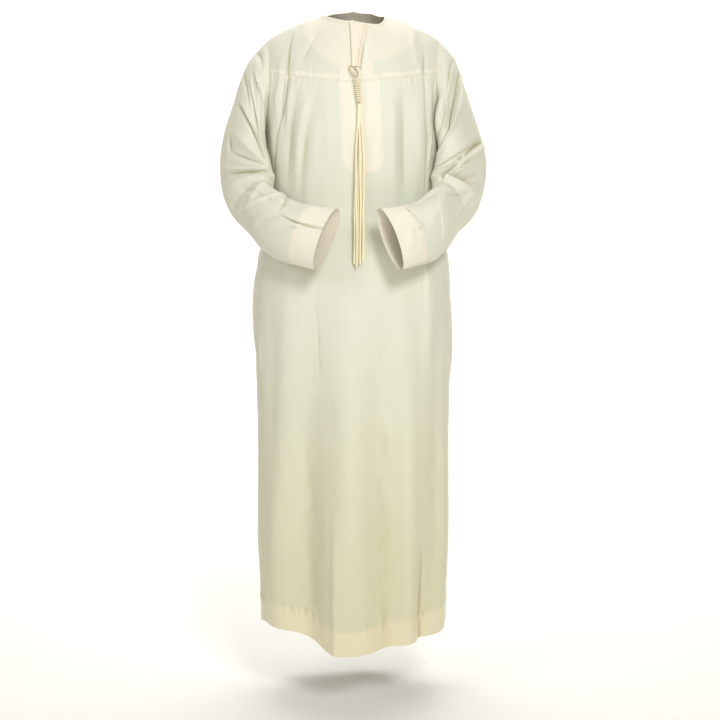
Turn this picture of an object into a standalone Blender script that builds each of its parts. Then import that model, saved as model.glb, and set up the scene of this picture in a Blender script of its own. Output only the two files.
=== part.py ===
"""Collarless Gulf kandura, size 56, in the hollow form that it has when it is worn.

Each piece that is cut and sewn is a closed wall of cloth. The forms are surfaces worked out from
short tables: rings for the skirt and chest, an arch over the shoulders, sections along each sleeve,
and creases that push the cloth in or out.

Metres, +Z up, front towards -Y, +X towards the wearer's left. The origin is midway between the two
points where the shoulder ridge meets the neckline, where the wearer's shoulders hold the robe.
"""

import math
from collections import namedtuple

import bpy
import numpy as np

# Cloth and seams
CLOTH = 0.0012
FACING = 0.0010
SEAM_GAP = 0.0011
LAYER_GAP = 0.0008
SEAM_SHARE = SEAM_GAP / 2 / 0.27  # half a seam's gap, as a share of a quarter turn or of the arch

# Heights and shares of the body surface. Level runs 0 at the hem, 1 at the armpits, 2 on the ridge.
HEM = -1.42
ARMPIT = -0.265
ARCH_FRONT = 2.0
ARCH_BACK = 2.8
GIRTH = 0.17  # metres of cloth for each radian of turn, for placing creases

# The neck hole and what is sewn round it
NECK_HALF_WIDTH = 0.0715
NECK_FRONT = 0.075
NECK_BACK = 0.062
NECK_SAG = 0.18  # the neckline dips this share farther out on the wearer's left front
NECK_SAG_AT = math.radians(50)
NECK_SAG_REACH = math.radians(30)
BINDING_WIDTH = 0.0055
BINDING_THICK = 0.0026
SLIT_X = 0.003
PLACKET_BOTTOM = -0.119
SEAM_AT_CENTRE = -0.150
SEAM_RISE = 0.024  # the front yoke seam climbs this much from the centre to the armhole
BACK_SEAM = -0.120

# Columns and rows of quads that pieces share along their seams
ROWS_ABOVE = 4
ARM_COLUMNS = 10
SEAM_COLUMNS = 8
BACK_COLUMNS = 9
YOKE_CORNERS = (52, 128, 232, 308)  # degrees round the neck that face the yoke's four corners
FRONT_GRID = (29, 27)
BACK_GRID = (23, 20)
SLEEVE_ROWS = 24

# Turned and faced edges
PLACKET_THICK = 0.0016
PLACKET_TOP_LEFT = -0.0056
PLACKET_TOP_RIGHT = 0.0300
PLACKET_FOOT_LEFT = -0.0010
PLACKET_FOOT_RIGHT = 0.0142
HEM_BAND = 0.057
CUFF_BAND = 0.062
BIB_LEFT = -0.028
BIB_RIGHT = 0.066
BIB_BOTTOM = -0.345
POCKET_TOP = -0.525
POCKET_BOTTOM = -0.705
POCKET_WIDTH = 0.028

# Sleeves
SIDES = {"right": -1, "left": 1}
ARM_GIRTH = 0.063  # metres of cloth for each radian round a sleeve
SLEEVE_LENGTH = 0.56
SLEEVE_HEAD = 0.22  # share of the length over which the armhole's form turns into the sections
FOREARM = 0.55
CALM = 0.12  # no crease starts nearer the armhole than this share
FOLD_START = 0.45  # from here to here round the armhole, the sleeve comes to fold down outside
FOLD_END = 0.70
LEFT_CUFF_SHIFT = 0.024  # the wearer's left cuff stops this much farther from the centre

# Tassel
LOOP_TOP = (0.0020, -0.1216, -0.1165)
LOOP_HALF_WIDTH = 0.0082
CORD_RADIUS = 0.0013
SEAT = 0.0001
HEAD_TOP = (0.0070, -0.1318, -0.1415)
HEAD_BOTTOM = (0.0142, -0.1422, -0.1990)
HEAD_RADIUS = 0.0060
HEAD_TURNS = 13
TASSEL_END = -0.545
STRAND_HALF = 0.0014

Ring = namedtuple("Ring", "height half_width front back power")
BODY_RINGS = (
    Ring(-1.420, 0.216, 0.163, 0.152, 1.85),
    Ring(-1.330, 0.217, 0.162, 0.150, 1.90),
    Ring(-1.200, 0.222, 0.160, 0.148, 2.00),
    Ring(-1.000, 0.221, 0.155, 0.144, 2.10),
    Ring(-0.800, 0.223, 0.147, 0.140, 2.20),
    Ring(-0.660, 0.221, 0.139, 0.137, 2.25),
    Ring(-0.560, 0.218, 0.132, 0.134, 2.25),
    Ring(-0.525, 0.213, 0.129, 0.132, 2.25),
    Ring(-0.490, 0.197, 0.126, 0.129, 2.25),
    Ring(-0.440, 0.183, 0.124, 0.125, 2.25),
    Ring(-0.360, 0.187, 0.129, 0.123, 2.30),
    Ring(-0.265, 0.194, 0.135, 0.127, 2.30),
)

Shoulder = namedtuple("Shoulder", "share half_width edge_degrees")
SHOULDERS = (
    Shoulder(0.00, 0.194, 90.0),
    Shoulder(0.15, 0.198, 72.0),
    Shoulder(0.30, 0.203, 62.0),
    Shoulder(0.50, 0.208, 60.0),
    Shoulder(0.75, 0.208, 62.0),
    Shoulder(1.00, 0.208, 69.0),
)

Ridge = namedtuple("Ridge", "x height")
RIDGE = (
    Ridge(0.000, 0.030),
    Ridge(0.040, 0.018),
    Ridge(0.0715, 0.000),
    Ridge(0.100, -0.0085),
    Ridge(0.125, -0.0180),
    Ridge(0.160, -0.0335),
    Ridge(0.185, -0.047),
    Ridge(0.200, -0.060),
)

# How much of the way from the neckline to the yoke's edge the neck facing covers
FacingEdge = namedtuple("FacingEdge", "degrees share")
FACING_EDGE = (
    FacingEdge(-180, 0.200),
    FacingEdge(-120, 0.200),
    FacingEdge(-85, 0.260),
    FacingEdge(-62, 0.300),
    FacingEdge(-50, 0.345),
    FacingEdge(-40, 0.420),
    FacingEdge(-24, 0.600),
    FacingEdge(-10, 0.790),
    FacingEdge(0, 0.810),
    FacingEdge(14, 0.730),
    FacingEdge(30, 0.595),
    FacingEdge(44, 0.490),
    FacingEdge(56, 0.445),
    FacingEdge(66, 0.440),
    FacingEdge(85, 0.300),
    FacingEdge(120, 0.200),
    FacingEdge(180, 0.200),
)

HemLevel = namedtuple("HemLevel", "degrees rise")
HEM_LEVELS = (
    HemLevel(-180, 0.010),
    HemLevel(-140, 0.018),
    HemLevel(-90, 0.033),
    HemLevel(-60, 0.042),
    HemLevel(-40, 0.033),
    HemLevel(-25, 0.018),
    HemLevel(-12, 0.000),
    HemLevel(10, 0.000),
    HemLevel(30, 0.011),
    HemLevel(60, 0.018),
    HemLevel(90, 0.040),
    HemLevel(140, 0.016),
    HemLevel(180, 0.010),
)

# A crease runs from (across0, up0) to (across1, up1) on the flat of its piece, bowed sideways by
# bend. It stands out, or in if negative, by start, middle and end along its length.
# An edge of 2 is a soft roll, and 1 is a sharp fold.
Crease = namedtuple("Crease", "across0 up0 across1 up1 bend width start middle end edge")
BODY_CREASES = (
    # skirt front: the ridge that hangs from the belly, then the drops on each side of it
    Crease(-0.006, -0.54, 0.004, -1.44, 0.004, 0.040, 0.000, 0.007, 0.008, 2.0),
    Crease(-0.046, -1.06, -0.037, -1.44, 0.000, 0.024, 0.000, 0.004, 0.015, 1.3),
    Crease(-0.062, -0.55, -0.058, -0.92, 0.003, 0.016, 0.000, -0.005, 0.000, 1.3),
    Crease(-0.098, -0.74, -0.105, -1.44, -0.006, 0.034, 0.000, -0.004, -0.008, 2.0),
    Crease(-0.150, -0.90, -0.160, -1.44, 0.004, 0.030, 0.000, 0.005, 0.010, 2.0),
    Crease(0.052, -0.62, 0.066, -1.44, 0.006, 0.030, 0.000, -0.006, -0.012, 2.0),
    Crease(0.104, -0.80, 0.106, -1.44, 0.000, 0.028, 0.000, 0.004, 0.009, 2.0),
    Crease(0.130, -1.16, 0.148, -1.44, 0.000, 0.015, 0.000, -0.005, -0.014, 1.6),
    Crease(0.150, -0.54, 0.140, -0.80, 0.002, 0.016, 0.000, 0.006, 0.000, 1.6),
    Crease(0.205, -0.85, 0.200, -1.44, 0.004, 0.032, 0.000, 0.004, 0.008, 2.0),
    # pocket mouths stand away from the sides
    Crease(-0.262, -0.56, -0.262, -0.76, 0.000, 0.030, 0.000, 0.009, 0.000, 2.0),
    Crease(0.262, -0.62, 0.262, -0.82, 0.000, 0.030, 0.000, 0.006, 0.000, 2.0),
    # skirt back
    Crease(0.334, -0.62, 0.330, -1.44, -0.008, 0.036, 0.000, 0.005, 0.010, 2.0),
    Crease(0.395, -0.86, 0.402, -1.44, 0.004, 0.026, 0.000, -0.005, -0.012, 1.8),
    Crease(0.462, -0.56, 0.470, -1.44, 0.007, 0.038, 0.000, 0.006, 0.013, 2.0),
    Crease(-0.478, -0.70, -0.486, -1.44, -0.004, 0.026, 0.000, -0.006, -0.014, 1.7),
    Crease(-0.418, -0.60, -0.412, -1.44, 0.006, 0.034, 0.000, 0.006, 0.011, 2.0),
    Crease(-0.352, -0.92, -0.346, -1.44, 0.000, 0.024, 0.000, -0.004, -0.010, 1.8),
    # chest
    Crease(0.138, -0.13, 0.146, -0.36, 0.006, 0.020, 0.000, 0.005, 0.000, 2.0),
    Crease(0.106, -0.16, 0.110, -0.46, -0.004, 0.022, 0.000, -0.003, -0.003, 2.0),
    Crease(-0.070, -0.16, -0.096, -0.46, 0.006, 0.022, 0.000, 0.004, 0.003, 2.0),
    Crease(-0.142, -0.10, -0.128, -0.34, 0.004, 0.018, 0.000, -0.004, 0.000, 2.0),
    # shoulder blades
    Crease(0.400, -0.14, 0.430, -0.50, 0.010, 0.030, 0.000, 0.005, 0.003, 2.0),
    Crease(-0.396, -0.15, -0.440, -0.48, -0.012, 0.028, 0.000, 0.005, 0.002, 2.0),
)

# Sections from armhole to cuff, for a sleeve whose outward way is +X. Out is the half section that
# faces away from the body. Over is the half section to the front, which turns to the forearm's top.
Section = namedtuple("Section", "x y z out_x out_y out_z over_x over_y over_z")
SECTIONS = (
    Section(0.192, 0.000, -0.160, 0.000, 0.000, 0.105, 0.000, -0.060, 0.000),
    Section(0.213, -0.004, -0.183, 0.016, 0.002, 0.088, -0.006, -0.070, 0.000),
    Section(0.225, -0.012, -0.213, 0.026, 0.003, 0.069, -0.014, -0.071, -0.004),
    Section(0.233, -0.021, -0.250, 0.036, 0.003, 0.048, -0.022, -0.069, -0.006),
    Section(0.2385, -0.030, -0.290, 0.045, 0.002, 0.028, -0.031, -0.067, -0.006),
    Section(0.2400, -0.038, -0.332, 0.049, 0.001, 0.012, -0.037, -0.060, 0.000),
    Section(0.2340, -0.047, -0.371, 0.050, -0.003, -0.004, -0.036, -0.052, 0.021),
    Section(0.2250, -0.068, -0.404, 0.044, -0.010, -0.008, -0.022, -0.040, 0.043),
    Section(0.202, -0.098, -0.431, 0.033, -0.020, -0.004, -0.013, -0.028, 0.057),
    Section(0.175, -0.131, -0.453, 0.032, -0.026, -0.002, -0.015, -0.021, 0.061),
    Section(0.142, -0.161, -0.470, 0.029, -0.025, 0.000, -0.018, -0.016, 0.062),
    Section(0.101, -0.189, -0.4805, 0.024, -0.022, 0.000, -0.021, -0.010, 0.0635),
    Section(0.056, -0.211, -0.488, 0.017, -0.025, 0.000, -0.023, 0.000, 0.066),
)

# Across is the way round the sleeve from its outer line, and up is the way down from the armhole.
SLEEVE_CREASES = {
    "right": (
        Crease(0.050, 0.035, 0.150, 0.190, 0.006, 0.013, 0.000, -0.007, 0.000, 1.6),
        Crease(0.095, 0.020, 0.150, 0.130, 0.004, 0.012, 0.000, -0.005, 0.000, 1.6),
        Crease(0.020, 0.150, 0.150, 0.210, 0.010, 0.014, 0.000, 0.008, 0.000, 1.7),
        Crease(-0.010, 0.215, 0.142, 0.236, -0.008, 0.013, 0.000, -0.008, 0.000, 1.5),
        Crease(-0.030, 0.262, 0.135, 0.262, 0.006, 0.014, 0.000, 0.008, 0.000, 1.7),
        Crease(-0.045, 0.312, 0.118, 0.300, 0.008, 0.014, 0.000, -0.007, 0.000, 1.6),
        Crease(0.000, 0.360, 0.120, 0.335, 0.006, 0.015, 0.000, 0.006, 0.000, 1.8),
        Crease(0.055, 0.340, 0.060, 0.495, 0.008, 0.013, 0.000, -0.006, 0.000, 1.4),
        Crease(-0.075, 0.160, -0.110, 0.300, 0.010, 0.016, 0.000, 0.006, 0.000, 1.8),
        Crease(-0.120, 0.040, -0.150, 0.180, 0.006, 0.016, 0.000, -0.006, 0.000, 1.7),
        Crease(-0.100, 0.330, -0.085, 0.500, 0.008, 0.018, 0.000, 0.004, 0.000, 2.0),
    ),
    "left": (
        Crease(0.000, 0.010, 0.004, 0.200, 0.000, 0.042, 0.000, -0.009, 0.000, 2.0),
        Crease(0.040, 0.030, 0.140, 0.150, 0.006, 0.014, 0.000, -0.007, 0.000, 1.6),
        Crease(0.105, 0.030, 0.160, 0.120, 0.003, 0.012, 0.000, 0.005, 0.000, 1.7),
        Crease(0.010, 0.175, 0.160, 0.219, 0.008, 0.015, 0.000, 0.008, 0.000, 1.7),
        Crease(-0.020, 0.240, 0.146, 0.250, -0.008, 0.013, 0.000, -0.008, 0.000, 1.5),
        Crease(-0.040, 0.290, 0.136, 0.278, 0.008, 0.015, 0.000, 0.008, 0.000, 1.7),
        Crease(-0.010, 0.335, 0.140, 0.306, 0.008, 0.014, 0.000, -0.006, 0.000, 1.6),
        Crease(0.060, 0.345, 0.010, 0.480, 0.014, 0.017, 0.000, 0.007, 0.000, 1.8),
        Crease(0.088, 0.370, 0.076, 0.495, 0.006, 0.014, 0.000, -0.005, 0.000, 1.5),
        Crease(-0.080, 0.150, -0.105, 0.290, 0.008, 0.016, 0.000, 0.006, 0.000, 1.8),
        Crease(-0.125, 0.050, -0.150, 0.190, 0.006, 0.016, 0.000, -0.005, 0.000, 1.7),
        Crease(-0.095, 0.340, -0.088, 0.510, 0.008, 0.018, 0.000, 0.004, 0.000, 2.0),
    ),
}

# Colours are linear RGB
IVORY = (0.730, 0.730, 0.590)
CREAM = (0.860, 0.790, 0.620)
CORD = (0.680, 0.560, 0.370)


def clear_scene():
    """Removes what a new scene starts with."""
    for item in list(bpy.data.objects):
        bpy.data.objects.remove(item, do_unlink=True)


def finish(name, colour, roughness):
    """A Principled material of one colour."""
    made = bpy.data.materials.new(name)
    made.use_nodes = True
    shader = made.node_tree.nodes["Principled BSDF"]
    shader.inputs["Base Color"].default_value = (*colour, 1.0)
    shader.inputs["Roughness"].default_value = roughness
    shader.inputs["Metallic"].default_value = 0.0
    return made


def through(keys, values, at):
    """A cubic curve through table values, with each slope taken from its two neighbours."""
    keys = np.asarray(keys, float)
    values = np.asarray(values, float)
    slopes = np.gradient(values, keys, axis=0)
    row = np.clip(np.searchsorted(keys, at) - 1, 0, len(keys) - 2)
    span = keys[row + 1] - keys[row]
    t = (at - keys[row]) / span
    if values.ndim > 1:
        t = t[..., None]
        span = span[..., None]
    rise = t * t * (3 - 2 * t)
    leave = t * (1 - t) ** 2 * span
    arrive = t * t * (t - 1) * span
    start = values[row] * (1 - rise) + slopes[row] * leave
    return start + values[row + 1] * rise + slopes[row + 1] * arrive


def column(table, key, value, at):
    """One column of a table of named rows, at any place along its key column."""
    keys = [getattr(row, key) for row in table]
    return through(keys, [getattr(row, value) for row in table], at)


def reach(angle, power):
    """How far a rounded rectangle of half sides 1 goes at an angle."""
    total = np.abs(np.cos(angle)) ** power + np.abs(np.sin(angle)) ** power
    return total ** (-1 / power)


def relief(across, up, creases, girth=None):
    """How far the creases push the cloth out at places on its flat."""
    total = np.zeros(np.shape(across))
    for crease in creases:
        run = crease.across1 - crease.across0
        climb = crease.up1 - crease.up0
        length = math.hypot(run, climb)
        dx = across - crease.across0
        if girth:
            dx = (dx + girth / 2) % girth - girth / 2
        dy = up - crease.up0
        t = np.clip((dx * run + dy * climb) / length**2, 0, 1)
        bow = 4 * t * (1 - t)
        side = (dx * climb - dy * run) / length - crease.bend * bow
        height = crease.start * (1 - t) + crease.middle * bow + crease.end * t
        total += height * np.exp(-np.abs(side / crease.width) ** crease.edge)
    return total


def unit(vectors):
    """Vectors scaled to length 1."""
    return vectors / np.linalg.norm(vectors, axis=-1, keepdims=True)


def facing_out(surface, first, second, step=1e-4):
    """Unit normals of a surface of two parameters."""
    along_first = surface(first + step, second) - surface(first - step, second)
    along_second = surface(first, second + step) - surface(first, second - step)
    return unit(np.cross(along_first, along_second))


# ---- body ----


def shoulder_edge(share):
    """The turn at which the armhole cuts the arch, from the armpit (0) to the ridge (1)."""
    return np.radians(column(SHOULDERS, "share", "edge_degrees", share))


def plain_body(turn, level):
    """The body with no creases. Turn is 0 at the centre front and grows towards +X."""
    drop = 1 - np.minimum(level, 1)
    share = np.maximum(level - 1, 0)
    degrees = np.degrees((turn + np.pi) % (2 * np.pi) - np.pi)
    bottom = HEM + column(HEM_LEVELS, "degrees", "rise", degrees)
    height = ARMPIT + (bottom - ARMPIT) * drop
    power = column(BODY_RINGS, "height", "power", height)
    half_width = np.where(
        share > 0,
        column(SHOULDERS, "share", "half_width", share),
        column(BODY_RINGS, "height", "half_width", height),
    )
    ahead = np.cos(turn) > 0
    depth = np.where(
        ahead,
        column(BODY_RINGS, "height", "front", height),
        column(BODY_RINGS, "height", "back", height),
    )
    ring = reach(turn, power)
    x = half_width * ring * np.sin(turn)
    rise = share * np.pi / 2
    arch = reach(rise, np.where(ahead, ARCH_FRONT, ARCH_BACK))
    y = -depth * ring * np.cos(turn) * arch * np.cos(rise)
    top = column(RIDGE, "x", "height", np.abs(x))
    z = height + (top - ARMPIT) * arch * np.sin(rise)
    return np.stack([x, y, z], -1)


def body(turn, level):
    """The body with its creases."""
    points = plain_body(turn, level)
    normals = facing_out(plain_body, turn, level)
    girth = 2 * np.pi * GIRTH
    raised = relief(GIRTH * turn, points[..., 2], BODY_CREASES, girth)
    return points + normals * raised[..., None]


def front(share, level):
    """The front of the body. Share runs from -1 at the wearer's right seam to 1 at the left."""
    return body(share * shoulder_edge(np.maximum(level - 1, 0)), level)


def back(share, level):
    """The back of the body, with share as on the front."""
    return body(np.pi - share * shoulder_edge(np.maximum(level - 1, 0)), level)


def over_shoulders(share, pass_over):
    """The arch from front to back. Pass_over runs from -1 at the front armpit to 1 at the back."""
    level = 2 - np.abs(pass_over)
    turn = share * shoulder_edge(level - 1)
    return body(np.where(pass_over <= 0, turn, np.pi - turn), level)


def arch_place(x, y=None, z=None, behind=False):
    """Share and pass_over of a place on the arch, given x and either y or z."""
    armpit = BODY_RINGS[-1]
    power = ARCH_BACK if behind else ARCH_FRONT
    depth = armpit.back if behind else armpit.front
    share = np.full(np.shape(x), 0.6)
    for _ in range(12):
        across = np.abs(x) / column(SHOULDERS, "share", "half_width", share)
        ahead = (1 - across**armpit.power) ** (1 / armpit.power)
        if z is None:
            lean = np.clip(np.abs(y) / depth / ahead, 1e-6, 0.9999)
            angle = np.arctan((lean**-power - 1) ** (1 / power))
        else:
            top = column(RIDGE, "x", "height", np.abs(x))
            climb = np.clip((z - ARMPIT) / (top - ARMPIT), 1e-6, 0.9999)
            angle = np.pi / 2 - np.arctan((climb**-power - 1) ** (1 / power))
        share = angle * 2 / np.pi
    turn = np.arctan2(across, ahead)
    pass_over = np.where(behind, 1 - share, share - 1)
    return np.sign(x) * turn / shoulder_edge(share), pass_over


def neckline(angle):
    """Share and pass_over of the neck hole's edge, by the angle round it from the centre front."""
    off = (angle - NECK_SAG_AT + np.pi) % (2 * np.pi) - np.pi
    sag = 1 + NECK_SAG * np.exp(-((off / NECK_SAG_REACH) ** 2))
    x = NECK_HALF_WIDTH * sag * np.sin(angle)
    behind = np.cos(angle) < 0
    y = np.where(behind, NECK_BACK, NECK_FRONT) * sag * np.abs(np.cos(angle))
    at_front = arch_place(x, y=y)
    at_back = arch_place(x, y=y, behind=True)
    return [np.where(behind, b, f) for f, b in zip(at_front, at_back)]


def front_seam(x):
    """Share and pass_over of the front yoke seam at x."""
    height = SEAM_AT_CENTRE + SEAM_RISE * (np.abs(x) / 0.185) ** 1.4
    return arch_place(x, z=height)


def back_seam(x):
    """Share and pass_over of the back yoke seam at x."""
    return arch_place(x, z=np.full(np.shape(x), BACK_SEAM), behind=True)


def seam_rows(seam, shares):
    """The pass_over of a yoke seam, which is the same on both sides, at each share across."""
    known, passes = seam(np.linspace(-0.18, 0.18, 41))
    slope = (passes[1] - passes[0]) / (known[1] - known[0])
    end = passes[0] - slope * (1 + known[0])
    return through([-1, *known, 1], [end, *passes, end], shares)


# ---- walls ----


def quads_of(rows, columns, closed):
    """Corner numbers of the outer side, inner side and rims of a wall, as quads."""
    grid = np.arange(rows * columns).reshape(rows, columns)
    if closed:
        grid = np.hstack([grid, grid[:, :1]])
    under = rows * columns
    outer = np.stack([grid[:-1, :-1], grid[:-1, 1:], grid[1:, 1:], grid[1:, :-1]], -1)
    outer = outer.reshape(-1, 4)
    edges = [(grid[0, 1:], grid[0, :-1]), (grid[-1, :-1], grid[-1, 1:])]
    if not closed:
        edges += [(grid[:-1, 0], grid[1:, 0]), (grid[1:, -1], grid[:-1, -1])]
    rims = [np.stack([a, b, b + under, a + under], -1) for a, b in edges]
    return np.concatenate([outer, outer[:, [0, 3, 2, 1]] + under, *rims])


def make(name, corners, faces, material, sharp_degrees=50):
    """An object with a smooth mesh of its own."""
    mesh = bpy.data.meshes.new(name)
    mesh.from_pydata(corners, [], faces)
    mesh.shade_smooth()
    mesh.set_sharp_from_angle(angle=math.radians(sharp_degrees))
    mesh.materials.append(material)
    made = bpy.data.objects.new(name, mesh)
    bpy.context.scene.collection.objects.link(made)
    return made


def wall(name, points, normals, material, thickness=CLOTH, depth=0.0, closed=False):
    """A closed wall of cloth about a grid of points, lying depth inside them."""
    middle = points - normals * depth
    half = normals * thickness / 2
    corners = np.concatenate([(middle + half).reshape(-1, 3), (middle - half).reshape(-1, 3)])
    faces = quads_of(*points.shape[:2], closed)
    a, b, d = (points.reshape(-1, 3)[faces[:, i][0]] for i in (0, 1, 3))
    if np.dot(np.cross(b - a, d - a), normals.reshape(-1, 3)[0]) < 0:
        faces = faces[:, [0, 3, 2, 1]]
    return make(name, corners.tolist(), faces.tolist(), material)


def between(points, rows, columns):
    """Places on a grid of points at fractional rows and columns, straight between neighbours."""
    row = np.clip(np.floor(rows).astype(int), 0, points.shape[0] - 2)
    col = np.clip(np.floor(columns).astype(int), 0, points.shape[1] - 2)
    r = (rows - row)[..., None]
    c = (columns - col)[..., None]
    near = points[row, col] * (1 - c) + points[row, col + 1] * c
    far = points[row + 1, col] * (1 - c) + points[row + 1, col + 1] * c
    return near * (1 - r) + far * r


def layer_depth(thickness=FACING):
    """How far inside a panel's middle the middle of a second layer lies."""
    return CLOTH / 2 + LAYER_GAP + thickness / 2


# ---- panels ----


def panel_levels(rows_below):
    """Levels from the hem up, with a row at the top of the hem band, then shares up to the seam."""
    band = HEM_BAND / (ARMPIT - HEM)
    lower = np.concatenate([[0, band / 2], np.linspace(band, 1, rows_below - 1)])
    return lower, np.linspace(0, 1, ROWS_ABOVE + 1)[1:]


def panel_grid(surface, seam, columns, rows_below, behind):
    """Points and normals of a front or back panel."""
    shares = np.linspace(-1 + SEAM_SHARE, 1 - SEAM_SHARE, columns)
    lower, upper = panel_levels(rows_below)
    tops = 1 - np.abs(seam_rows(seam, shares)) - SEAM_SHARE
    levels = np.concatenate([np.tile(lower[:, None], (1, columns)), 1 + upper[:, None] * tops])
    across = np.tile(shares, (len(levels), 1))
    points = surface(across, levels)
    normals = facing_out(surface, across, levels)
    if behind:
        normals = -normals
    return points, normals


def arm_passes():
    """Where the yoke's columns meet the armhole, as pass_over, with the seam corners at the ends."""
    corners = [float(seam_rows(seam, np.array([1.0]))[0]) for seam in (front_seam, back_seam)]
    return np.linspace(corners[0] + SEAM_SHARE, corners[1] - SEAM_SHARE, ARM_COLUMNS)


def yoke_grid():
    """Points and normals of the yoke, round from one side of the slit to the other."""
    side = 1 - SEAM_SHARE
    beside_slit = SEAM_GAP / 2 / width_of_share()
    slit = SLIT_X / width_of_share()
    front_left = np.linspace(slit + beside_slit, side, SEAM_COLUMNS)
    front_right = np.linspace(-side, slit - beside_slit, SEAM_COLUMNS)
    behind = np.linspace(side, -side, BACK_COLUMNS)
    up = arm_passes()
    arm = np.full(ARM_COLUMNS - 2, side)
    outer_share = np.concatenate([front_left, arm, behind, -arm, front_right])
    outer_over = np.concatenate(
        [
            seam_rows(front_seam, front_left) + SEAM_SHARE,
            up[1:-1],
            seam_rows(back_seam, behind) - SEAM_SHARE,
            up[-2:0:-1],
            seam_rows(front_seam, front_right) + SEAM_SHARE,
        ]
    )
    first = math.asin((SLIT_X + SEAM_GAP / 2) / NECK_HALF_WIDTH)
    last = 2 * math.pi + math.asin((SLIT_X - SEAM_GAP / 2) / NECK_HALF_WIDTH)
    runs = [SEAM_COLUMNS, ARM_COLUMNS, BACK_COLUMNS, ARM_COLUMNS, SEAM_COLUMNS]
    corners = np.cumsum([0, *(columns - 1 for columns in runs)])
    angles = [first, *np.radians(YOKE_CORNERS), last]
    around = np.interp(np.arange(len(outer_share)), corners, angles)
    inner_share, inner_over = neckline(around)
    degrees = np.degrees((around + np.pi) % (2 * np.pi) - np.pi)
    facing = column(FACING_EDGE, "degrees", "share", degrees)
    rows = np.stack([0 * facing, facing / 2, facing, (1 + facing) / 2, 0 * facing + 1])
    share = inner_share * (1 - rows) + outer_share * rows
    pass_over = inner_over * (1 - rows) + outer_over * rows
    return over_shoulders(share, pass_over), facing_out(over_shoulders, share, pass_over)


def width_of_share():
    """The x that a share of 1 would span at the rate near the centre front."""
    share, _ = front_seam(np.array([0.01]))
    return 0.01 / float(share[0])


# ---- sleeves ----


def pass_at(angle):
    """The pass_over of the armhole's edge, by the angle from the shoulder's tip over the front."""
    return np.where(angle <= np.pi, -angle / np.pi, 2 - angle / np.pi)


def sleeve_surface(side):
    """The surface of one sleeve, by the angle round it and the way along it from 0 to 1."""
    sections = np.array(SECTIONS)
    steps = np.linalg.norm(np.diff(sections[:, :3], axis=0), axis=1)
    keys = np.concatenate([[0], np.cumsum(steps)]) / steps.sum()
    way = SIDES[side]
    mirror = np.array([way, 1, 1])
    cuff_shift = LEFT_CUFF_SHIFT if side == "left" else 0.0
    girth = 2 * np.pi * ARM_GIRTH

    def plain(angle, along):
        row = through(keys, sections, along)
        c, s = np.cos(angle)[..., None], np.sin(angle)[..., None]
        points = row[..., :3] + c * row[..., 3:6] + s * row[..., 6:]
        late = np.clip((along - FOREARM) / (1 - FOREARM), 0, 1)
        points[..., 0] += cuff_shift * late * late * (3 - 2 * late)
        first = sections[0, :3] + c * sections[0, 3:6] + s * sections[0, 6:]
        armhole = over_shoulders(np.full(np.shape(angle), way), pass_at(angle % (2 * np.pi)))
        fade = np.clip(1 - along / SLEEVE_HEAD, 0, 1)[..., None]
        return points * mirror + (armhole - first * mirror) * fade * fade * (3 - 2 * fade)

    def creased(angle, along):
        points = plain(angle, along)
        normals = facing_out(plain, angle, along) * way
        raised = relief(ARM_GIRTH * angle, SLEEVE_LENGTH * along, SLEEVE_CREASES[side], girth)
        calm = np.clip(along / CALM, 0, 1)
        return points + normals * (raised * calm)[..., None]

    return creased


def armhole_angles():
    """Angles round the armhole where the edges of the yoke and the panels have their corners."""
    yoke = arm_passes()
    fronts = -1 + (1 + yoke[0] - SEAM_SHARE) * np.linspace(0, 1, ROWS_ABOVE + 1)[:-1]
    backs = 1 - (1 - yoke[-1] - SEAM_SHARE) * np.linspace(0, 1, ROWS_ABOVE + 1)[1:-1]
    passes = np.concatenate([yoke, backs[::-1], fronts])
    return np.sort(-np.pi * passes % (2 * np.pi))


def seam_row(side, angles, sleeve_normals):
    """The sleeve's first row. It carries on from the yoke, and folds down outside the armpit."""
    pass_over = pass_at(angles)
    share = np.full(len(angles), SIDES[side] * (1 + SEAM_SHARE))
    normals = facing_out(over_shoulders, share, pass_over)
    fold = np.clip((np.abs(pass_over) - FOLD_START) / (FOLD_END - FOLD_START), 0, 1)[:, None]
    points = over_shoulders(share, pass_over) + normals * fold * (CLOTH + LAYER_GAP)
    return points, unit(normals * (1 - fold) + sleeve_normals * fold)


def sleeve_grid(side):
    """Points and normals of one sleeve, whose last two rows of quads are its cuff band."""
    surface = sleeve_surface(side)
    band = 1 - CUFF_BAND / SLEEVE_LENGTH
    along = np.concatenate([np.linspace(0, band, SLEEVE_ROWS - 2), [(1 + band) / 2, 1.0]])
    angles = armhole_angles()
    angle, along = np.meshgrid(angles, along)
    points = surface(angle, along)
    normals = facing_out(surface, angle, along) * SIDES[side]
    points[0], normals[0] = seam_row(side, angles, normals[0])
    return points, normals


# ---- strips and cords ----


def sweep(name, centres, across, over, sides, material, closed=False, sharp_degrees=50):
    """A strip or cord along centres, with half sections across and over. Its ends are capped."""
    turns = np.arange(sides) * 2 * np.pi / sides + np.pi / sides
    size = 1 / math.cos(math.pi / sides) if sides == 4 else 1.0
    rings = (
        centres[:, None]
        + across[:, None] * (np.cos(turns) * size)[:, None]
        + over[:, None] * (np.sin(turns) * size)[:, None]
    )
    count = len(centres)
    faces = []
    for ring in range(count if closed else count - 1):
        after = (ring + 1) % count
        for side in range(sides):
            beside = (side + 1) % sides
            here, there = ring * sides, after * sides
            faces.append((here + side, here + beside, there + beside, there + side))
    if not closed:
        faces.append(tuple(range(sides))[::-1])
        faces.append(tuple((count - 1) * sides + side for side in range(sides)))
    heading = centres[1] - centres[0]
    if np.dot(np.cross(across[0], over[0]), heading) < 0:
        faces = [face[::-1] for face in faces]
    return make(name, rings.reshape(-1, 3).tolist(), faces, material, sharp_degrees)


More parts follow.
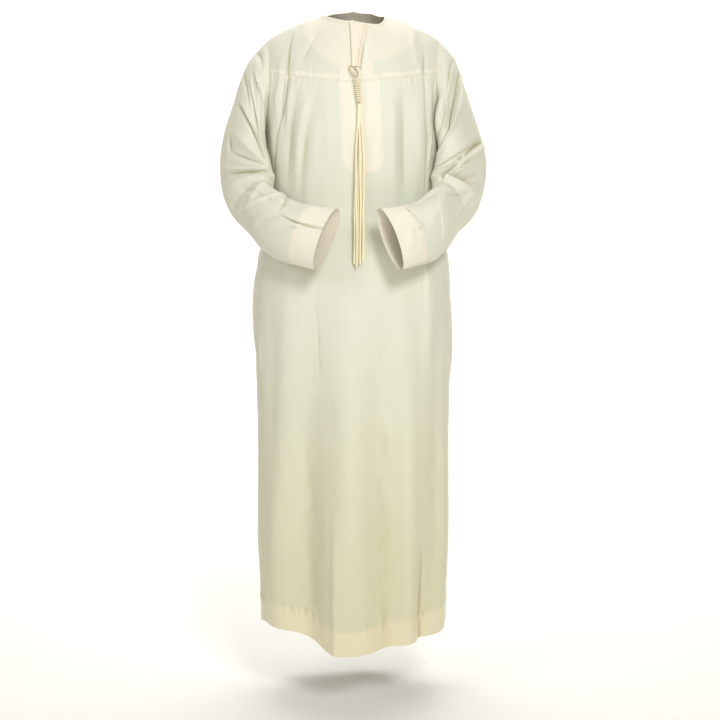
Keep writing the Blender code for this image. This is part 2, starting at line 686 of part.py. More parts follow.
def make_binding(yoke_points, yoke_normals, material):
    """The binding that closes the yoke's edge round the neck."""
    edge = yoke_points[0]
    inward = unit(edge - yoke_points[1])
    along = unit(np.gradient(edge, axis=0))
    inward = unit(inward - along * np.sum(inward * along, axis=1, keepdims=True))
    offset = BINDING_WIDTH / 2 + LAYER_GAP / 2
    over = yoke_normals[0] * BINDING_THICK / 2
    across = inward * BINDING_WIDTH / 2
    return sweep("neck_binding", edge + inward * offset, across, over, 8, material)


def make_placket(material):
    """The strip over the slit, wider at the neck than at its foot."""
    rows, columns = 7, 4
    share = np.linspace(0, 1, rows)[:, None]
    across = np.linspace(0, 1, columns)[None, :]
    left = PLACKET_TOP_LEFT + (PLACKET_FOOT_LEFT - PLACKET_TOP_LEFT) * share
    right = PLACKET_TOP_RIGHT + (PLACKET_FOOT_RIGHT - PLACKET_TOP_RIGHT) * share
    x = left + (right - left) * across
    neck_share, neck_over = neckline(np.arcsin(x / NECK_HALF_WIDTH))
    foot_share, foot_over = arch_place(x, z=np.full(x.shape, PLACKET_BOTTOM))
    part = 0.03 + 0.97 * share
    place = neck_share * (1 - part) + foot_share * part
    pass_over = neck_over * (1 - part) + foot_over * part
    points = over_shoulders(place, pass_over)
    normals = facing_out(over_shoulders, place, pass_over)
    depth = -(CLOTH / 2 + LAYER_GAP + PLACKET_THICK / 2)
    return wall("placket", points, normals, material, PLACKET_THICK, depth)


def make_bib(front_points, front_normals, material):
    """The U-ended second layer behind the front, from the yoke seam down."""
    half = (BIB_RIGHT - BIB_LEFT) / 2
    middle = (BIB_RIGHT + BIB_LEFT) / 2
    centre_column = front_points.shape[1] // 2
    heights = front_points[:, centre_column, 2]
    inside = np.nonzero((heights > BIB_BOTTOM + half * 0.3) & (heights < SEAM_AT_CENTRE - 0.01))[0]
    ends = [BIB_BOTTOM + half * share for share in (0.0, 0.06, 0.22)]
    numbers = np.arange(len(heights))
    rows = np.concatenate([np.interp(ends, heights, numbers), inside, [len(heights) - 1.02]])
    level = np.interp(rows, numbers, heights)
    curve = np.clip((BIB_BOTTOM + half - level) / half, 0, 0.985)
    reach_x = half * np.sqrt(1 - curve**2)
    x = middle + reach_x[:, None] * np.linspace(-1, 1, 6)[None, :]
    columns = np.empty(x.shape)
    for index, row in enumerate(rows):
        stations = np.arange(front_points.shape[1])
        line = between(front_points, np.full(len(stations), row), stations)
        columns[index] = np.interp(x[index], line[:, 0], stations)
    row_grid = np.tile(rows[:, None], (1, x.shape[1]))
    points = between(front_points, row_grid, columns)
    normals = unit(between(front_normals, row_grid, columns))
    return wall("bib_facing", points, normals, material, FACING, layer_depth())


def make_pocket_facings(front_points, front_normals, material):
    """A second layer at the front edge of each side seam, where the hand goes in."""
    heights = front_points[:, 0, 2]
    numbers = np.arange(len(heights))
    ends = np.interp([POCKET_BOTTOM, POCKET_TOP], heights, numbers)
    rows = np.concatenate([[ends[0]], np.arange(math.ceil(ends[0]), ends[1]), [ends[1]]])
    last = front_points.shape[1] - 1
    width = np.linalg.norm(front_points[:, 1] - front_points[:, 0], axis=1).mean()
    reach_columns = POCKET_WIDTH / width
    inward = np.unique(np.concatenate([[0.05], np.arange(1, reach_columns), [reach_columns]]))
    for name, columns in (
        ("pocket_facing_right", inward),
        ("pocket_facing_left", last - inward[::-1]),
    ):
        row_grid, column_grid = np.meshgrid(rows, columns, indexing="ij")
        points = between(front_points, row_grid, column_grid)
        normals = unit(between(front_normals, row_grid, column_grid))
        wall(name, points, normals, material, FACING, layer_depth())


# ---- tassel ----


def make_loop(material):
    """The small cord loop between the placket's foot and the tassel's head."""
    count = 18
    turn = np.arange(count) * 2 * np.pi / count
    top = np.array(LOOP_TOP)
    low = np.array(HEAD_TOP) + np.array([0.0, 0.0, CORD_RADIUS + SEAT])
    middle = (top + low) / 2
    reach_up = (top - low) / 2
    reach_side = np.array([LOOP_HALF_WIDTH, 0.0, 0.0])
    narrow = 0.82 + 0.18 * np.cos(turn / 2 - 0.5) ** 2
    centres = (
        middle
        + np.cos(turn)[:, None] * reach_up
        + (np.sin(turn) * narrow)[:, None] * reach_side
    )
    along = unit(np.roll(centres, -1, axis=0) - np.roll(centres, 1, axis=0))
    ahead = np.tile(np.array([0.0, -1.0, 0.0]), (count, 1))
    side = unit(np.cross(along, ahead))
    ahead = unit(np.cross(side, along))
    side, ahead = side * CORD_RADIUS, ahead * CORD_RADIUS
    return sweep("tassel_loop", centres, side, ahead, 6, material, closed=True)


def make_tassel(material):
    """The wrapped head, with six cords drawn out of its underside."""
    top, bottom = np.array(HEAD_TOP), np.array(HEAD_BOTTOM)
    across = np.array([1.0, 0.0, 0.0])
    ahead = np.array([0.0, -1.0, 0.0])
    # the boundary of a 3 by 2 block of squares, anticlockwise, bent to a circle
    block = [(0, 0), (1, 0), (2, 0), (3, 0), (3, 1), (3, 2), (2, 2), (1, 2), (0, 2), (0, 1)]
    bearings = np.radians([210, 250, 290, 330, 0, 30, 70, 110, 150, 180])
    corners, faces = [], []
    rings_per_turn = 2
    rings = HEAD_TURNS * rings_per_turn + 1
    sides = len(block)
    for ring in range(rings):
        share = ring / (rings - 1)
        swell = 0.86 + 0.14 * math.sin(math.pi * min(1.0, share * 1.15 + 0.1))
        groove = 0.90 if ring % rings_per_turn else 1.0
        radius = HEAD_RADIUS * swell * groove
        centre = top + (bottom - top) * share
        for bearing in bearings:
            corners.append(centre + radius * (across * math.cos(bearing) + ahead * math.sin(bearing)))
    for ring in range(rings - 1):
        for side in range(sides):
            a = ring * sides + side
            b = ring * sides + (side + 1) % sides
            faces.append((a, a + sides, b + sides, b))
    faces.append(tuple(range(sides)))
    last = (rings - 1) * sides
    numbers = {spot: last + index for index, spot in enumerate(block)}
    for spot in ((1, 1), (2, 1)):
        numbers[spot] = len(corners)
        corners.append(bottom + across * HEAD_RADIUS * (spot[0] - 1.5) * 0.6)
    for i in range(3):
        for j in range(2):
            root = [numbers[i, j], numbers[i + 1, j], numbers[i + 1, j + 1], numbers[i, j + 1]]
            add_strand(corners, faces, root, i, j)
    outward = [face[::-1] for face in faces]
    return make("tassel", [tuple(corner) for corner in corners], outward, material)


def add_strand(corners, faces, root, i, j):
    """Draws one four-sided cord down from a square of the head's underside."""
    centre = np.mean([corners[number] for number in root], axis=0)
    spread = np.array([(i - 1) * 0.0078 + (j - 0.5) * 0.0032, -(j - 0.5) * 0.0052, 0.0])
    length = 9
    previous = root
    for step in range(length + 1):
        share = step / length
        fall = HEAD_BOTTOM[2] - 0.0009 + (TASSEL_END + 0.006 * (i - j) - HEAD_BOTTOM[2]) * share
        ease = min(1.0, share * 2.6)
        ease = ease * ease * (3 - 2 * ease)
        sway = 0.0012 * math.sin(5 * share + 1.7 * i + 2.9 * j) * ease
        middle = centre * (1 - ease) + (np.array(HEAD_BOTTOM) + spread) * ease
        middle = np.array([middle[0] + sway, middle[1], fall])
        half = STRAND_HALF * (0.75 + 0.25 * ease)
        ring = []
        for corner_x, corner_y in ((-1, 1), (1, 1), (1, -1), (-1, -1)):
            ring.append(len(corners))
            corners.append(middle + np.array([corner_x * half, corner_y * half, 0.0]))
        for side in range(4):
            beside = (side + 1) % 4
            faces.append((previous[side], ring[side], ring[beside], previous[beside]))
        previous = ring
    faces.append(tuple(reversed(previous)))


def build():
    """Makes every piece of the robe."""
    clear_scene()
    ivory = finish("ivory polyester", IVORY, 0.55)
    cream = finish("doubled ivory polyester", CREAM, 0.55)
    cord = finish("silky cord", CORD, 0.45)

    front_points, front_normals = panel_grid(front, front_seam, *FRONT_GRID, behind=False)
    back_points, back_normals = panel_grid(back, back_seam, *BACK_GRID, behind=True)
    wall("front_panel", front_points, front_normals, ivory)
    wall("back_panel", back_points, back_normals, ivory)

    hem_points = np.concatenate([front_points[:3], back_points[:3, ::-1]], axis=1)
    hem_normals = np.concatenate([front_normals[:3], back_normals[:3, ::-1]], axis=1)
    wall("hem_facing", hem_points, hem_normals, cream, FACING, layer_depth(), closed=True)

    yoke_points, yoke_normals = yoke_grid()
    wall("yoke", yoke_points, yoke_normals, ivory)
    wall("neck_facing", yoke_points[:3], yoke_normals[:3], cream, FACING, layer_depth())
    make_binding(yoke_points, yoke_normals, cream)
    make_placket(cream)
    make_bib(front_points, front_normals, cream)
    make_pocket_facings(front_points, front_normals, cream)

    for side in SIDES:
        points, normals = sleeve_grid(side)
        cuff = points[-3:], normals[-3:]
        wall(f"sleeve_{side}", points, normals, ivory, closed=True)
        wall(f"cuff_facing_{side}", *cuff, cream, FACING, layer_depth(), closed=True)

    make_loop(cord)
    make_tassel(cord)


build()
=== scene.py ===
"""Ivory collarless Gulf kandura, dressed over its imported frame.

The robe hangs in the form that it has when it is worn, with nobody in it. Each class below is one
sewn sub-assembly. It works its cloth out as a fine grid of points on the robe's form, pushes that
grid in and out by the creases in the tables, and turns it into a thin closed shell of cloth.

Metres, +Z up, front towards -Y, +X towards the wearer's left. The origin is midway between the two
points where the shoulder ridge meets the neckline. Places on the robe are given by share, which
runs from -1 to 1 across it, and by level or pass_over, which class Form explains.
"""

import logging
import math
from collections.abc import Sequence
from dataclasses import dataclass
from enum import Enum
from typing import Any, NamedTuple

import bpy
import numpy as np
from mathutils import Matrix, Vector


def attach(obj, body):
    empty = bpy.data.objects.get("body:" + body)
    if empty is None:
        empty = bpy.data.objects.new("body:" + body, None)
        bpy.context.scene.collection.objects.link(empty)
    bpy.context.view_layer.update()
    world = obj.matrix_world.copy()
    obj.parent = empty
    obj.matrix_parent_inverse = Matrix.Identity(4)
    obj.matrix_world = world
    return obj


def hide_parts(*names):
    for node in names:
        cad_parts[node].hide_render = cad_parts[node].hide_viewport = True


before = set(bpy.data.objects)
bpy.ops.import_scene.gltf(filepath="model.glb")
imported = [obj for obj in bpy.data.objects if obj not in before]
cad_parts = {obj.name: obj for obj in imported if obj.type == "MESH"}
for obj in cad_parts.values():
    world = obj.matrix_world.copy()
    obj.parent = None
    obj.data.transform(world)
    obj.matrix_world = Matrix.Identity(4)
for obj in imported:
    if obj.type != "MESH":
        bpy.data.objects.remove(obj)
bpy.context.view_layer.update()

Array = np.ndarray
Faces = list[list[int]]
Point = tuple[float, float, float]
Pair = tuple[float, float]
ArrayPair = tuple[Array, Array]
Shape = tuple[Array, Faces]
Object = bpy.types.Object
Material = bpy.types.Material
Tree = bpy.types.NodeTree
Node = bpy.types.Node
Socket = bpy.types.NodeSocket

log = logging.getLogger("kandura")

FULL_TURN = 2 * np.pi
FRONT = np.array([0.0, -1.0, 0.0])
# The step that slopes and normals are measured over
STEP = 1e-4
# How much of a crease's width the step of its lap takes
LAP_STEP = 0.3


# ---- tables, in the robe's own sizes ----


class Ring(NamedTuple):
    """A level round the body: half its width, its depth to the front and back, its squareness."""

    height: float
    half_width: float
    front: float
    back: float
    power: float


class Shoulder(NamedTuple):
    """A share of the way from armpit to ridge, and where the armhole cuts the arch there."""

    share: float
    half_width: float
    edge_degrees: float


class Crease(NamedTuple):
    """A fold from (across0, up0) to (across1, up1) on the flat of its piece, bowed by bend.

    It stands out, or in if negative, by start, middle and end along its length. An edge of 2 is a
    soft roll and 1 is a sharp fold. A lap of 1 raises the side on its right as it runs and sinks
    the other, as where cloth folds over itself, and -1 does the reverse.
    """

    across0: float
    up0: float
    across1: float
    up1: float
    bend: float
    width: float
    start: float
    middle: float
    end: float
    edge: float = 2.0
    lap: float = 0.0


def creases(*rows: tuple[float, ...]) -> tuple[Crease, ...]:
    """Creases from rows in the order of their fields, in millimetres up to the edge."""
    lengths = len(Crease._fields) - 2
    return tuple(
        Crease(*(size / 1000 for size in row[:lengths]), *map(float, row[lengths:])) for row in rows
    )


BODY_RINGS = (
    Ring(-1.420, 0.216, 0.163, 0.152, 1.85),
    Ring(-1.330, 0.217, 0.162, 0.150, 1.90),
    Ring(-1.200, 0.222, 0.160, 0.148, 2.00),
    Ring(-1.000, 0.221, 0.155, 0.144, 2.10),
    Ring(-0.800, 0.223, 0.147, 0.140, 2.20),
    Ring(-0.660, 0.221, 0.139, 0.137, 2.25),
    Ring(-0.560, 0.218, 0.132, 0.134, 2.25),
    Ring(-0.525, 0.213, 0.129, 0.132, 2.25),
    Ring(-0.490, 0.197, 0.126, 0.129, 2.25),
    Ring(-0.440, 0.183, 0.124, 0.125, 2.25),
    Ring(-0.360, 0.187, 0.129, 0.123, 2.30),
    Ring(-0.265, 0.194, 0.135, 0.127, 2.30),
)

SHOULDERS = (
    Shoulder(0.00, 0.194, 90.0),
    Shoulder(0.15, 0.198, 72.0),
    Shoulder(0.30, 0.203, 62.0),
    Shoulder(0.50, 0.208, 60.0),
    Shoulder(0.75, 0.208, 62.0),
    Shoulder(1.00, 0.208, 69.0),
)

# The height of the shoulder ridge, by the distance from the centre
RIDGE_HEIGHTS = {
    0.000: 0.030, 0.040: 0.018, 0.0715: 0.000, 0.100: -0.0085,
    0.125: -0.0180, 0.160: -0.0335, 0.185: -0.047, 0.200: -0.060,
}

# How much of the way from the neckline to the yoke's edge the neck facing covers, by degrees from
# the centre front
FACING_SHARES = {
    -180: 0.200, -120: 0.200, -85: 0.260, -62: 0.300, -50: 0.345, -40: 0.420, -24: 0.600,
    -10: 0.790, 0: 0.810, 14: 0.730, 30: 0.595, 44: 0.490, 56: 0.445, 66: 0.440, 85: 0.300,
    120: 0.200, 180: 0.200,
}

# How far the hem is raised, by degrees from the centre front
HEM_RISES = {
    -180: 0.010, -140: 0.018, -90: 0.033, -60: 0.042, -40: 0.033, -25: 0.018, -12: 0.000,
    10: 0.000, 30: 0.011, 60: 0.018, 90: 0.040, 140: 0.016, 180: 0.010,
}

# Sections of a sleeve, from the armhole to the cuff, in millimetres: the centre, then the half
# sections towards the outer line and across it, each as X, Y and Z
SLEEVE_SECTIONS = np.array(
    [
        (192, 0, -160, 0, 0, 105, 0, -60, 0),
        (213, -4, -183, 16, 2, 88, -6, -70, 0),
        (225, -12, -213, 26, 3, 69, -14, -71, -4),
        (233, -21, -250, 36, 3, 48, -22, -69, -6),
        (238.5, -30, -290, 45, 2, 28, -31, -67, -6),
        (240, -38, -332, 49, 1, 12, -37, -60, 0),
        (234, -47, -371, 50, -3, -4, -36, -52, 21),
        (225, -68, -404, 44, -10, -8, -22, -40, 43),
        (202, -98, -431, 33, -20, -4, -13, -28, 57),
        (175, -131, -453, 32, -26, -2, -15, -21, 61),
        (142, -161, -470, 29, -25, 0, -18, -16, 62),
        (101, -189, -480.5, 24, -22, 0, -21, -10, 63.5),
        (56, -211, -488, 17, -25, 0, -23, 0, 66),
    ]
) / 1000

# Folds that the solids hold too
MAIN_BODY_CREASES = creases(
    # skirt front: the ridge that hangs from the belly, then the drops on each side of it
    (-6, -540, 4, -1440, 4, 40, 0, 7, 8),
    (-46, -1060, -37, -1440, 0, 24, 0, 4, 15, 1.3),
    (-62, -550, -58, -920, 3, 16, 0, -5, 0, 1.3),
    (-98, -740, -105, -1440, -6, 34, 0, -4, -8),
    (-150, -900, -160, -1440, 4, 30, 0, 5, 10),
    (52, -620, 66, -1440, 6, 30, 0, -6, -12),
    (104, -800, 106, -1440, 0, 28, 0, 4, 9),
    (130, -1160, 148, -1440, 0, 15, 0, -5, -14, 1.6),
    (150, -540, 140, -800, 2, 16, 0, 6, 0, 1.6),
    (205, -850, 200, -1440, 4, 32, 0, 4, 8),
    # pocket mouths stand away from the sides
    (-262, -560, -262, -760, 0, 30, 0, 9, 0),
    (262, -620, 262, -820, 0, 30, 0, 6, 0),
    # skirt back
    (334, -620, 330, -1440, -8, 36, 0, 5, 10),
    (395, -860, 402, -1440, 4, 26, 0, -5, -12, 1.8),
    (462, -560, 470, -1440, 7, 38, 0, 6, 13),
    (-478, -700, -486, -1440, -4, 26, 0, -6, -14, 1.7),
    (-418, -600, -412, -1440, 6, 34, 0, 6, 11),
    (-352, -920, -346, -1440, 0, 24, 0, -4, -10, 1.8),
    # chest
    (138, -130, 146, -360, 6, 20, 0, 5, 0),
    (106, -160, 110, -460, -4, 22, 0, -3, -3),
    (-70, -160, -96, -460, 6, 22, 0, 4, 3),
    (-142, -100, -128, -340, 4, 18, 0, -4, 0),
    # shoulder blades
    (400, -140, 430, -500, 10, 30, 0, 5, 3),
    (-396, -150, -440, -480, -12, 28, 0, 5, 2),
)

# Smaller folds, too fine for the solids
FINE_BODY_CREASES = creases(
    # wearer's right shoulder and chest
    (-111, -32, -122, -142, 2, 7, 0, -6.3, -3, 1.3, 0.5),
    (-121, -132, -164, -258, -4, 7.5, -3, -6.9, -2.4, 1.3, 0.5),
    (-160, -245, -194, -370, 2, 8, -1.5, -6.6, 0, 1.4, 0.5),
    (-136, -85, -150, -215, 3, 9, 0, 4.8, 0, 1.7),
    (-59, -32, -95, -116, 2, 7, 0, -5.4, 0, 1.4),
    (-64, -155, -109, -412, 5, 12, 0, -6.9, -1.5, 1.7),
    (-83, -170, -122, -400, 4, 10, 0, 4.2, 0, 1.7),
    (-101, -150, -146, -390, 4, 8.5, 0, -5.1, 0, 1.5),
    (-44, -180, -50, -330, 0, 10, 0, 2.2, 0, 1.9),
    (-132, -146, -152, -232, 3, 5, -2, -4.8, 0, 1.4, 0.5),
    (-116, -148, -140, -262, 3, 5.5, 1, 4.2, 0, 1.5, -0.4),
    (-150, -146, -166, -214, 2, 5, 0, 3.6, 0, 1.5),
    # wearer's left shoulder and chest
    (132, -62, 144, -205, 1, 7, 0, -5.7, -1.5, 1.3, -0.5),
    (141, -195, 169, -410, -4, 8.5, -1.5, -6, 0, 1.4, -0.5),
    (171, -115, 194, -325, 3, 8, 0, -5.1, 0, 1.4),
    (156, -120, 178, -330, 3, 9, 0, 4.5, 0, 1.7),
    (94, -158, 108, -400, 3, 11, 0, -5.1, 0, 1.7),
    (78, -175, 86, -390, 2, 10, 0, 3.6, 0, 1.9),
    (112, -30, 120, -115, 2, 8, 0, 3.4, 0, 1.7),
    (178, -125, 174, -405, 4, 6.5, 0, 4.2, 0, 1.4, -0.6),
    # the sides, full under the arms
    (-262, -225, -262, -365, 0, 20, 0, 4.5, 0),
    (262, -225, 262, -365, 0, 20, 0, 3, 0),
    # the pull of the tassel beside the foot of the placket
    (22, -132, 40, -166, 1, 4.2, 0, 2.5, 0, 1.4),
    (30, -126, 54, -154, 1, 4.2, 0, 2.2, 0, 1.4),
    (18, -146, 26, -188, 1, 5, 0, -1, 0, 1.5),
    (-16, -134, -30, -160, 1, 4.5, 0, 2, 0, 1.5),
    # skirt front: soft drops, then the few crisp ones
    (2, -600, 2, -1440, 3, 30, 0, 6, 4),
    (-66, -600, -68, -1440, 4, 25, 0, -6, -5),
    (-88, -820, -90, -1440, 0, 33, 0, -7, -11),
    (-112, -580, -122, -1420, -4, 22, 0, 1, -1),
    (-154, -620, -160, -1400, 4, 20, 0, -2, -3),
    (-22, -700, -20, -1440, 0, 18, 0, 3, 3),
    (60, -900, 64, -1440, 4, 30, 0, -3, -1),
    (100, -600, 104, -1440, 2, 24, 0, 4.5, 5),
    (168, -640, 172, -1400, 3, 20, 0, -5, -4),
    (-64, -640, -56, -840, 1, 6, 0, 3.4, 0, 1.4, 0.6),
    (-197, -682, -197, -808, 1, 6.5, 0, 4, 0, 1.6),
    (139, -535, 136, -655, 1, 6, 0, 4, 0, 1.6),
    (-36, -1080, -35, -1440, 0, 12, 0, 3, 6.5, 1.5, -0.9),
    # what the turned hem pulls up on the front
    (116, -1352, 133, -1316, 0, 4.5, 0, 2.3, 0, 1.3),
    (94, -1360, 106, -1338, 0, 5, 0, 1.6, 0, 1.4),
    (68, -1366, 84, -1336, 1, 5.5, 0, 1.5, 0, 1.4),
    (46, -1372, 54, -1350, 0, 5, 0, 1.4, 0, 1.4),
    (-70, -1352, -86, -1318, 1, 5.5, 0, 1.6, 0, 1.4),
    (-120, -1336, -142, -1290, 1, 6, 0, 1.6, 0, 1.4),
    (-172, -1318, -186, -1286, 1, 5.5, 0, 1.6, 0, 1.4),
    # skirt back
    (300, -600, 294, -1400, 4, 22.4, 0, -6, -1.5),
    (362, -560, 354, -1210, -4, 20.8, 0, 4.8, 0),
    (430, -640, 446, -1390, 4, 19.2, 0, -6.3, -1.5),
    (508, -560, 514, -1420, -3, 20.8, 0, -5.7, -3),
    (-508, -620, -516, -1150, 3, 19.2, 0, 5, 0),
    (-452, -560, -448, -1420, 4, 19.2, 0, -5.7, -1.5),
    (-384, -640, -380, -1350, -4, 22.4, 0, -5.4, 0),
    (-308, -580, -314, -1410, 4, 20.8, 0, 4.8, 0),
    (388, -1372, 402, -1338, 1, 5.5, 0, 2.8, 0, 1.4),
    (478, -1374, 488, -1344, 1, 5, 0, 1.8, 0, 1.4),
    (-462, -1372, -478, -1336, 1, 5.5, 0, 2.8, 0, 1.4),
    (-366, -1366, -378, -1336, 1, 5, 0, 1.8, 0, 1.4),
    # upper back and the slack in the small of it
    (468, -50, 500, -400, 4, 12, 0, -5.4, 0, 1.6),
    (-470, -60, -492, -420, -4, 12, 0, -5.1, 0, 1.6),
    (352, -90, 372, -310, 3, 10, 0, -5.4, 0, 1.5),
    (-342, -90, -362, -320, -3, 10, 0, -5.4, 0, 1.5),
    (534, -170, 530, -520, 3, 13, 0, 3.6, 0, 1.9),
    (395, -505, 520, -470, 10, 16, 0, 3.4, 0),
    (-400, -530, -520, -500, -10, 12, 0, 4.2, 0, 1.7),
    (420, -550, 540, -528, 8, 18, 0, -2.2, 0),
)


class Side(Enum):
    """The wearer's sides. The value is the way that the sleeve points along X."""

    RIGHT = -1
    LEFT = 1

    @property
    def word(self) -> str:
        """The side's word in the names of pieces."""
        return self.name.lower()


# Folds of the sleeves. Across is the way round from the outer line, and up the way down the arm.
MAIN_SLEEVE_CREASES = {
    Side.RIGHT: creases(
        (50, 35, 150, 190, 6, 13, 0, -7, 0, 1.6),
        (95, 20, 150, 130, 4, 12, 0, -5, 0, 1.6),
        (20, 150, 150, 210, 10, 14, 0, 8, 0, 1.7),
        (-10, 215, 142, 236, -8, 13, 0, -8, 0, 1.5),
        (-30, 262, 135, 262, 6, 14, 0, 8, 0, 1.7),
        (-45, 312, 118, 300, 8, 14, 0, -7, 0, 1.6),
        (0, 360, 120, 335, 6, 15, 0, 6, 0, 1.8),
        (55, 340, 60, 495, 8, 13, 0, -6, 0, 1.4),
        (-75, 160, -110, 300, 10, 16, 0, 6, 0, 1.8),
        (-120, 40, -150, 180, 6, 16, 0, -6, 0, 1.7),
        (-100, 330, -85, 500, 8, 18, 0, 4, 0),
    ),
    Side.LEFT: creases(
        (0, 10, 4, 200, 0, 42, 0, -9, 0),
        (40, 30, 140, 150, 6, 14, 0, -7, 0, 1.6),
        (105, 30, 160, 120, 3, 12, 0, 5, 0, 1.7),
        (10, 175, 160, 219, 8, 15, 0, 8, 0, 1.7),
        (-20, 240, 146, 250, -8, 13, 0, -8, 0, 1.5),
        (-40, 290, 136, 278, 8, 15, 0, 8, 0, 1.7),
        (-10, 335, 140, 306, 8, 14, 0, -6, 0, 1.6),
        (60, 345, 10, 480, 14, 17, 0, 7, 0, 1.8),
        (88, 370, 76, 495, 6, 14, 0, -5, 0, 1.5),
        (-80, 150, -105, 290, 8, 16, 0, 6, 0, 1.8),
        (-125, 50, -150, 190, 6, 16, 0, -5, 0, 1.7),
        (-95, 340, -88, 510, 8, 18, 0, 4, 0),
    ),
}

FINE_SLEEVE_CREASES = {
    Side.RIGHT: creases(
        # from the shoulder's tip down to the crook of the arm
        (14, 102, 122, 188, 29, 9, 0, 9.5, 2, 1.5, 0.9),
        (36, 54, 132, 130, 7, 6.5, 0, 7.4, 0, 1.4, 0.7),
        (50, 43, 140, 58, 0, 5.5, 0, 6.8, 0, 1.4, 0.6),
        (0, 18, 90, 22, 0, 5, 0, -8.1, 0, 1.4),
        (-2, 50, 72, 94, 4, 6, 0, -6.8, 0, 1.5, -0.4),
        (62, 100, 128, 148, 4, 5.5, 0, -6.8, 0, 1.4),
        # across the elbow
        (12, 158, 22, 188, 0, 5.5, 0, -5, -2, 1.5),
        (18, 184, 108, 193, -3, 6, 0, -6, 0, 1.4, -0.5),
        (-4, 218.5, 112, 214, -6.5, 8, 2, 13, 4, 1.6),
        (0, 233, 110, 237, -6, 9.5, 0, 6, 0),
        # along the forearm
        (40, 268, 60, 372, 4, 8, 0, -5, 0, 1.6),
        (-22, 294, 117, 406, -22, 6.5, 3, 8.5, 3, 1.5, 0.4),
        (62, 262, 104, 400, 8, 7.5, 0, 4.5, 0, 1.5),
        (34, 437, 118, 411, -6, 6, 0, -5.5, -2, 1.5),
        (-14, 388, 46, 470, 4, 8, 0, -4, 0, 1.6),
        (37, 455, 24, 562, -2, 5.5, 2, 4.8, 3, 1.2, 0.9),
        (-34, 420, 24, 508, 3, 8, 0, -3.2, 0, 1.7),
        # the back and the inner side
        (-62, 60, -78, 170, 4, 9, 0, -6, 0, 1.5),
        (-150, 60, -112, 200, 6, 9, 0, 5, 0, 1.5, 0.5),
        (-60, 222, -140, 250, 6, 8, 0, -6, 0, 1.4, -0.5),
        (-70, 276, -150, 296, 6, 8.5, 0, 5, 0, 1.5, 0.6),
        (-66, 400, -130, 430, 4, 9, 0, -4.2, 0, 1.6),
    ),
    Side.LEFT: creases(
        # from the shoulder's tip down to the crook of the arm
        (0, 54, 146, 138, 0, 10, 1, 14.9, 7, 1.5, -0.9),
        (122, 34, 176, 90, 0, 24, 0, 13, 0),
        (52, 48, 150, 104, 4, 6, 0, 6.5, 0, 1.4, -0.6),
        (100, 62, 158, 96, 0, 5, 0, -6.5, 0, 1.4),
        (30, 30, 126, 70, 0, 6, 0, 6.5, 0, 1.5, -0.5),
        (0, 30, 104, 52, 0, 5.5, 0, -7.2, 0, 1.5, 0.4),
        (60, 70, 128, 98, 0, 5.5, 0, -6.5, 0, 1.4),
        (4, 52.5, 152, 138, 0, 5.5, 0, -10, -7, 1.5),
        # across the elbow
        (-40, 172, 62, 196, 3, 9.5, 0, 8, 7, 1.6, -0.9),
        (60, 196, 112, 320, 6, 9.5, 7, 8, 0, 1.6, -0.9),
        (10, 198, 84, 285, 24, 8, 0, 5, 0, 1.6, -0.6),
        (-6, 225, 60, 262, 6, 7.5, 0, -5, 0, 1.5),
        (-4, 168, 150, 206, 3, 4.8, 0, -5.5, -5, 1.5),
        # along the forearm
        (94, 402, -34, 437, 0, 6.5, 0, 5.5, 0, 1.4, 0.7),
        (102, 500, 24, 486, 3, 5.5, 0, -4.5, 0, 1.5, 0.4),
        (24, 268, -22, 392, 6, 9.5, 0, 4.8, 0, 1.5, 0.4),
        (14, 258, 56, 382, 6, 8, 0, -5.5, 0, 1.5),
        (26, 518, -36, 540, 2, 6, 0, 3, 0, 1.5),
        (78, 330, 108, 420, 6, 8, 0, 4, 0, 1.5),
        # the back and the inner side
        (-60, 70, -80, 180, 4, 9, 0, -6, 0, 1.5),
        (-148, 70, -110, 210, 6, 9, 0, 5, 0, 1.5, 0.5),
        (-56, 236, -142, 262, 6, 8, 0, -6, 0, 1.4, -0.5),
        (-72, 292, -150, 308, 6, 8.5, 0, 5, 0, 1.5, 0.6),
        (-64, 412, -132, 440, 4, 9, 0, -4.2, 0, 1.6),
    ),
}


# ---- mathematics ----


def through(keys: Sequence[float] | Array, values: Any, at: Array) -> Array:
    """Follows a cubic curve through table values.

    Args:
        keys: The rising key of each row.
        values: One value or one row of values for each key.
        at: Where to read the curve.

    Returns:
        The values there.
    """
    keys = np.asarray(keys, float)
    values = np.asarray(values, float)
    slopes = np.gradient(values, keys, axis=0)
    row = np.clip(np.searchsorted(keys, at) - 1, 0, len(keys) - 2)
    span = keys[row + 1] - keys[row]
    t = (at - keys[row]) / span
    if values.ndim > 1:
        t = t[..., None]
        span = span[..., None]
    rise = t * t * (3 - 2 * t)
    leave = t * (1 - t) ** 2 * span
    arrive = t * t * (t - 1) * span
    start = values[row] * (1 - rise) + slopes[row] * leave
    return start + values[row + 1] * rise + slopes[row + 1] * arrive


def columns(table: Sequence[Sequence[float]], at: Array) -> Array:
    """Reads every column of a table but the first, at any place along the first."""
    rows = np.array(table)
    return np.moveaxis(through(rows[:, 0], rows[:, 1:], at), -1, 0)


def follow(table: dict[float, float], at: Array) -> Array:
    """Reads a table of one value for each key, at any place between its keys."""
    return through(list(table), list(table.values()), at)


def reach(angle: Array, power: Any) -> Array:
    """How far a rounded rectangle of half sides 1 goes at an angle."""
    total = np.abs(np.cos(angle)) ** power + np.abs(np.sin(angle)) ** power
    return total ** (-1 / power)


def smooth(share: Array) -> Array:
    """A soft step from 0 to 1."""
    t = np.clip(share, 0, 1)
    return t * t * (3 - 2 * t)


def bell(distance: Array, width: float) -> Array:
    """A swell of 1 on a line, which fades away over a width on each side of it."""
    return np.exp(-((distance / width) ** 2))


def swells(*lines: tuple[float, Array, float]) -> Array:
    """Adds up swells: the height of each, how far each place is from its line, and its width."""
    return sum(height * bell(distance, width) for height, distance, width in lines)


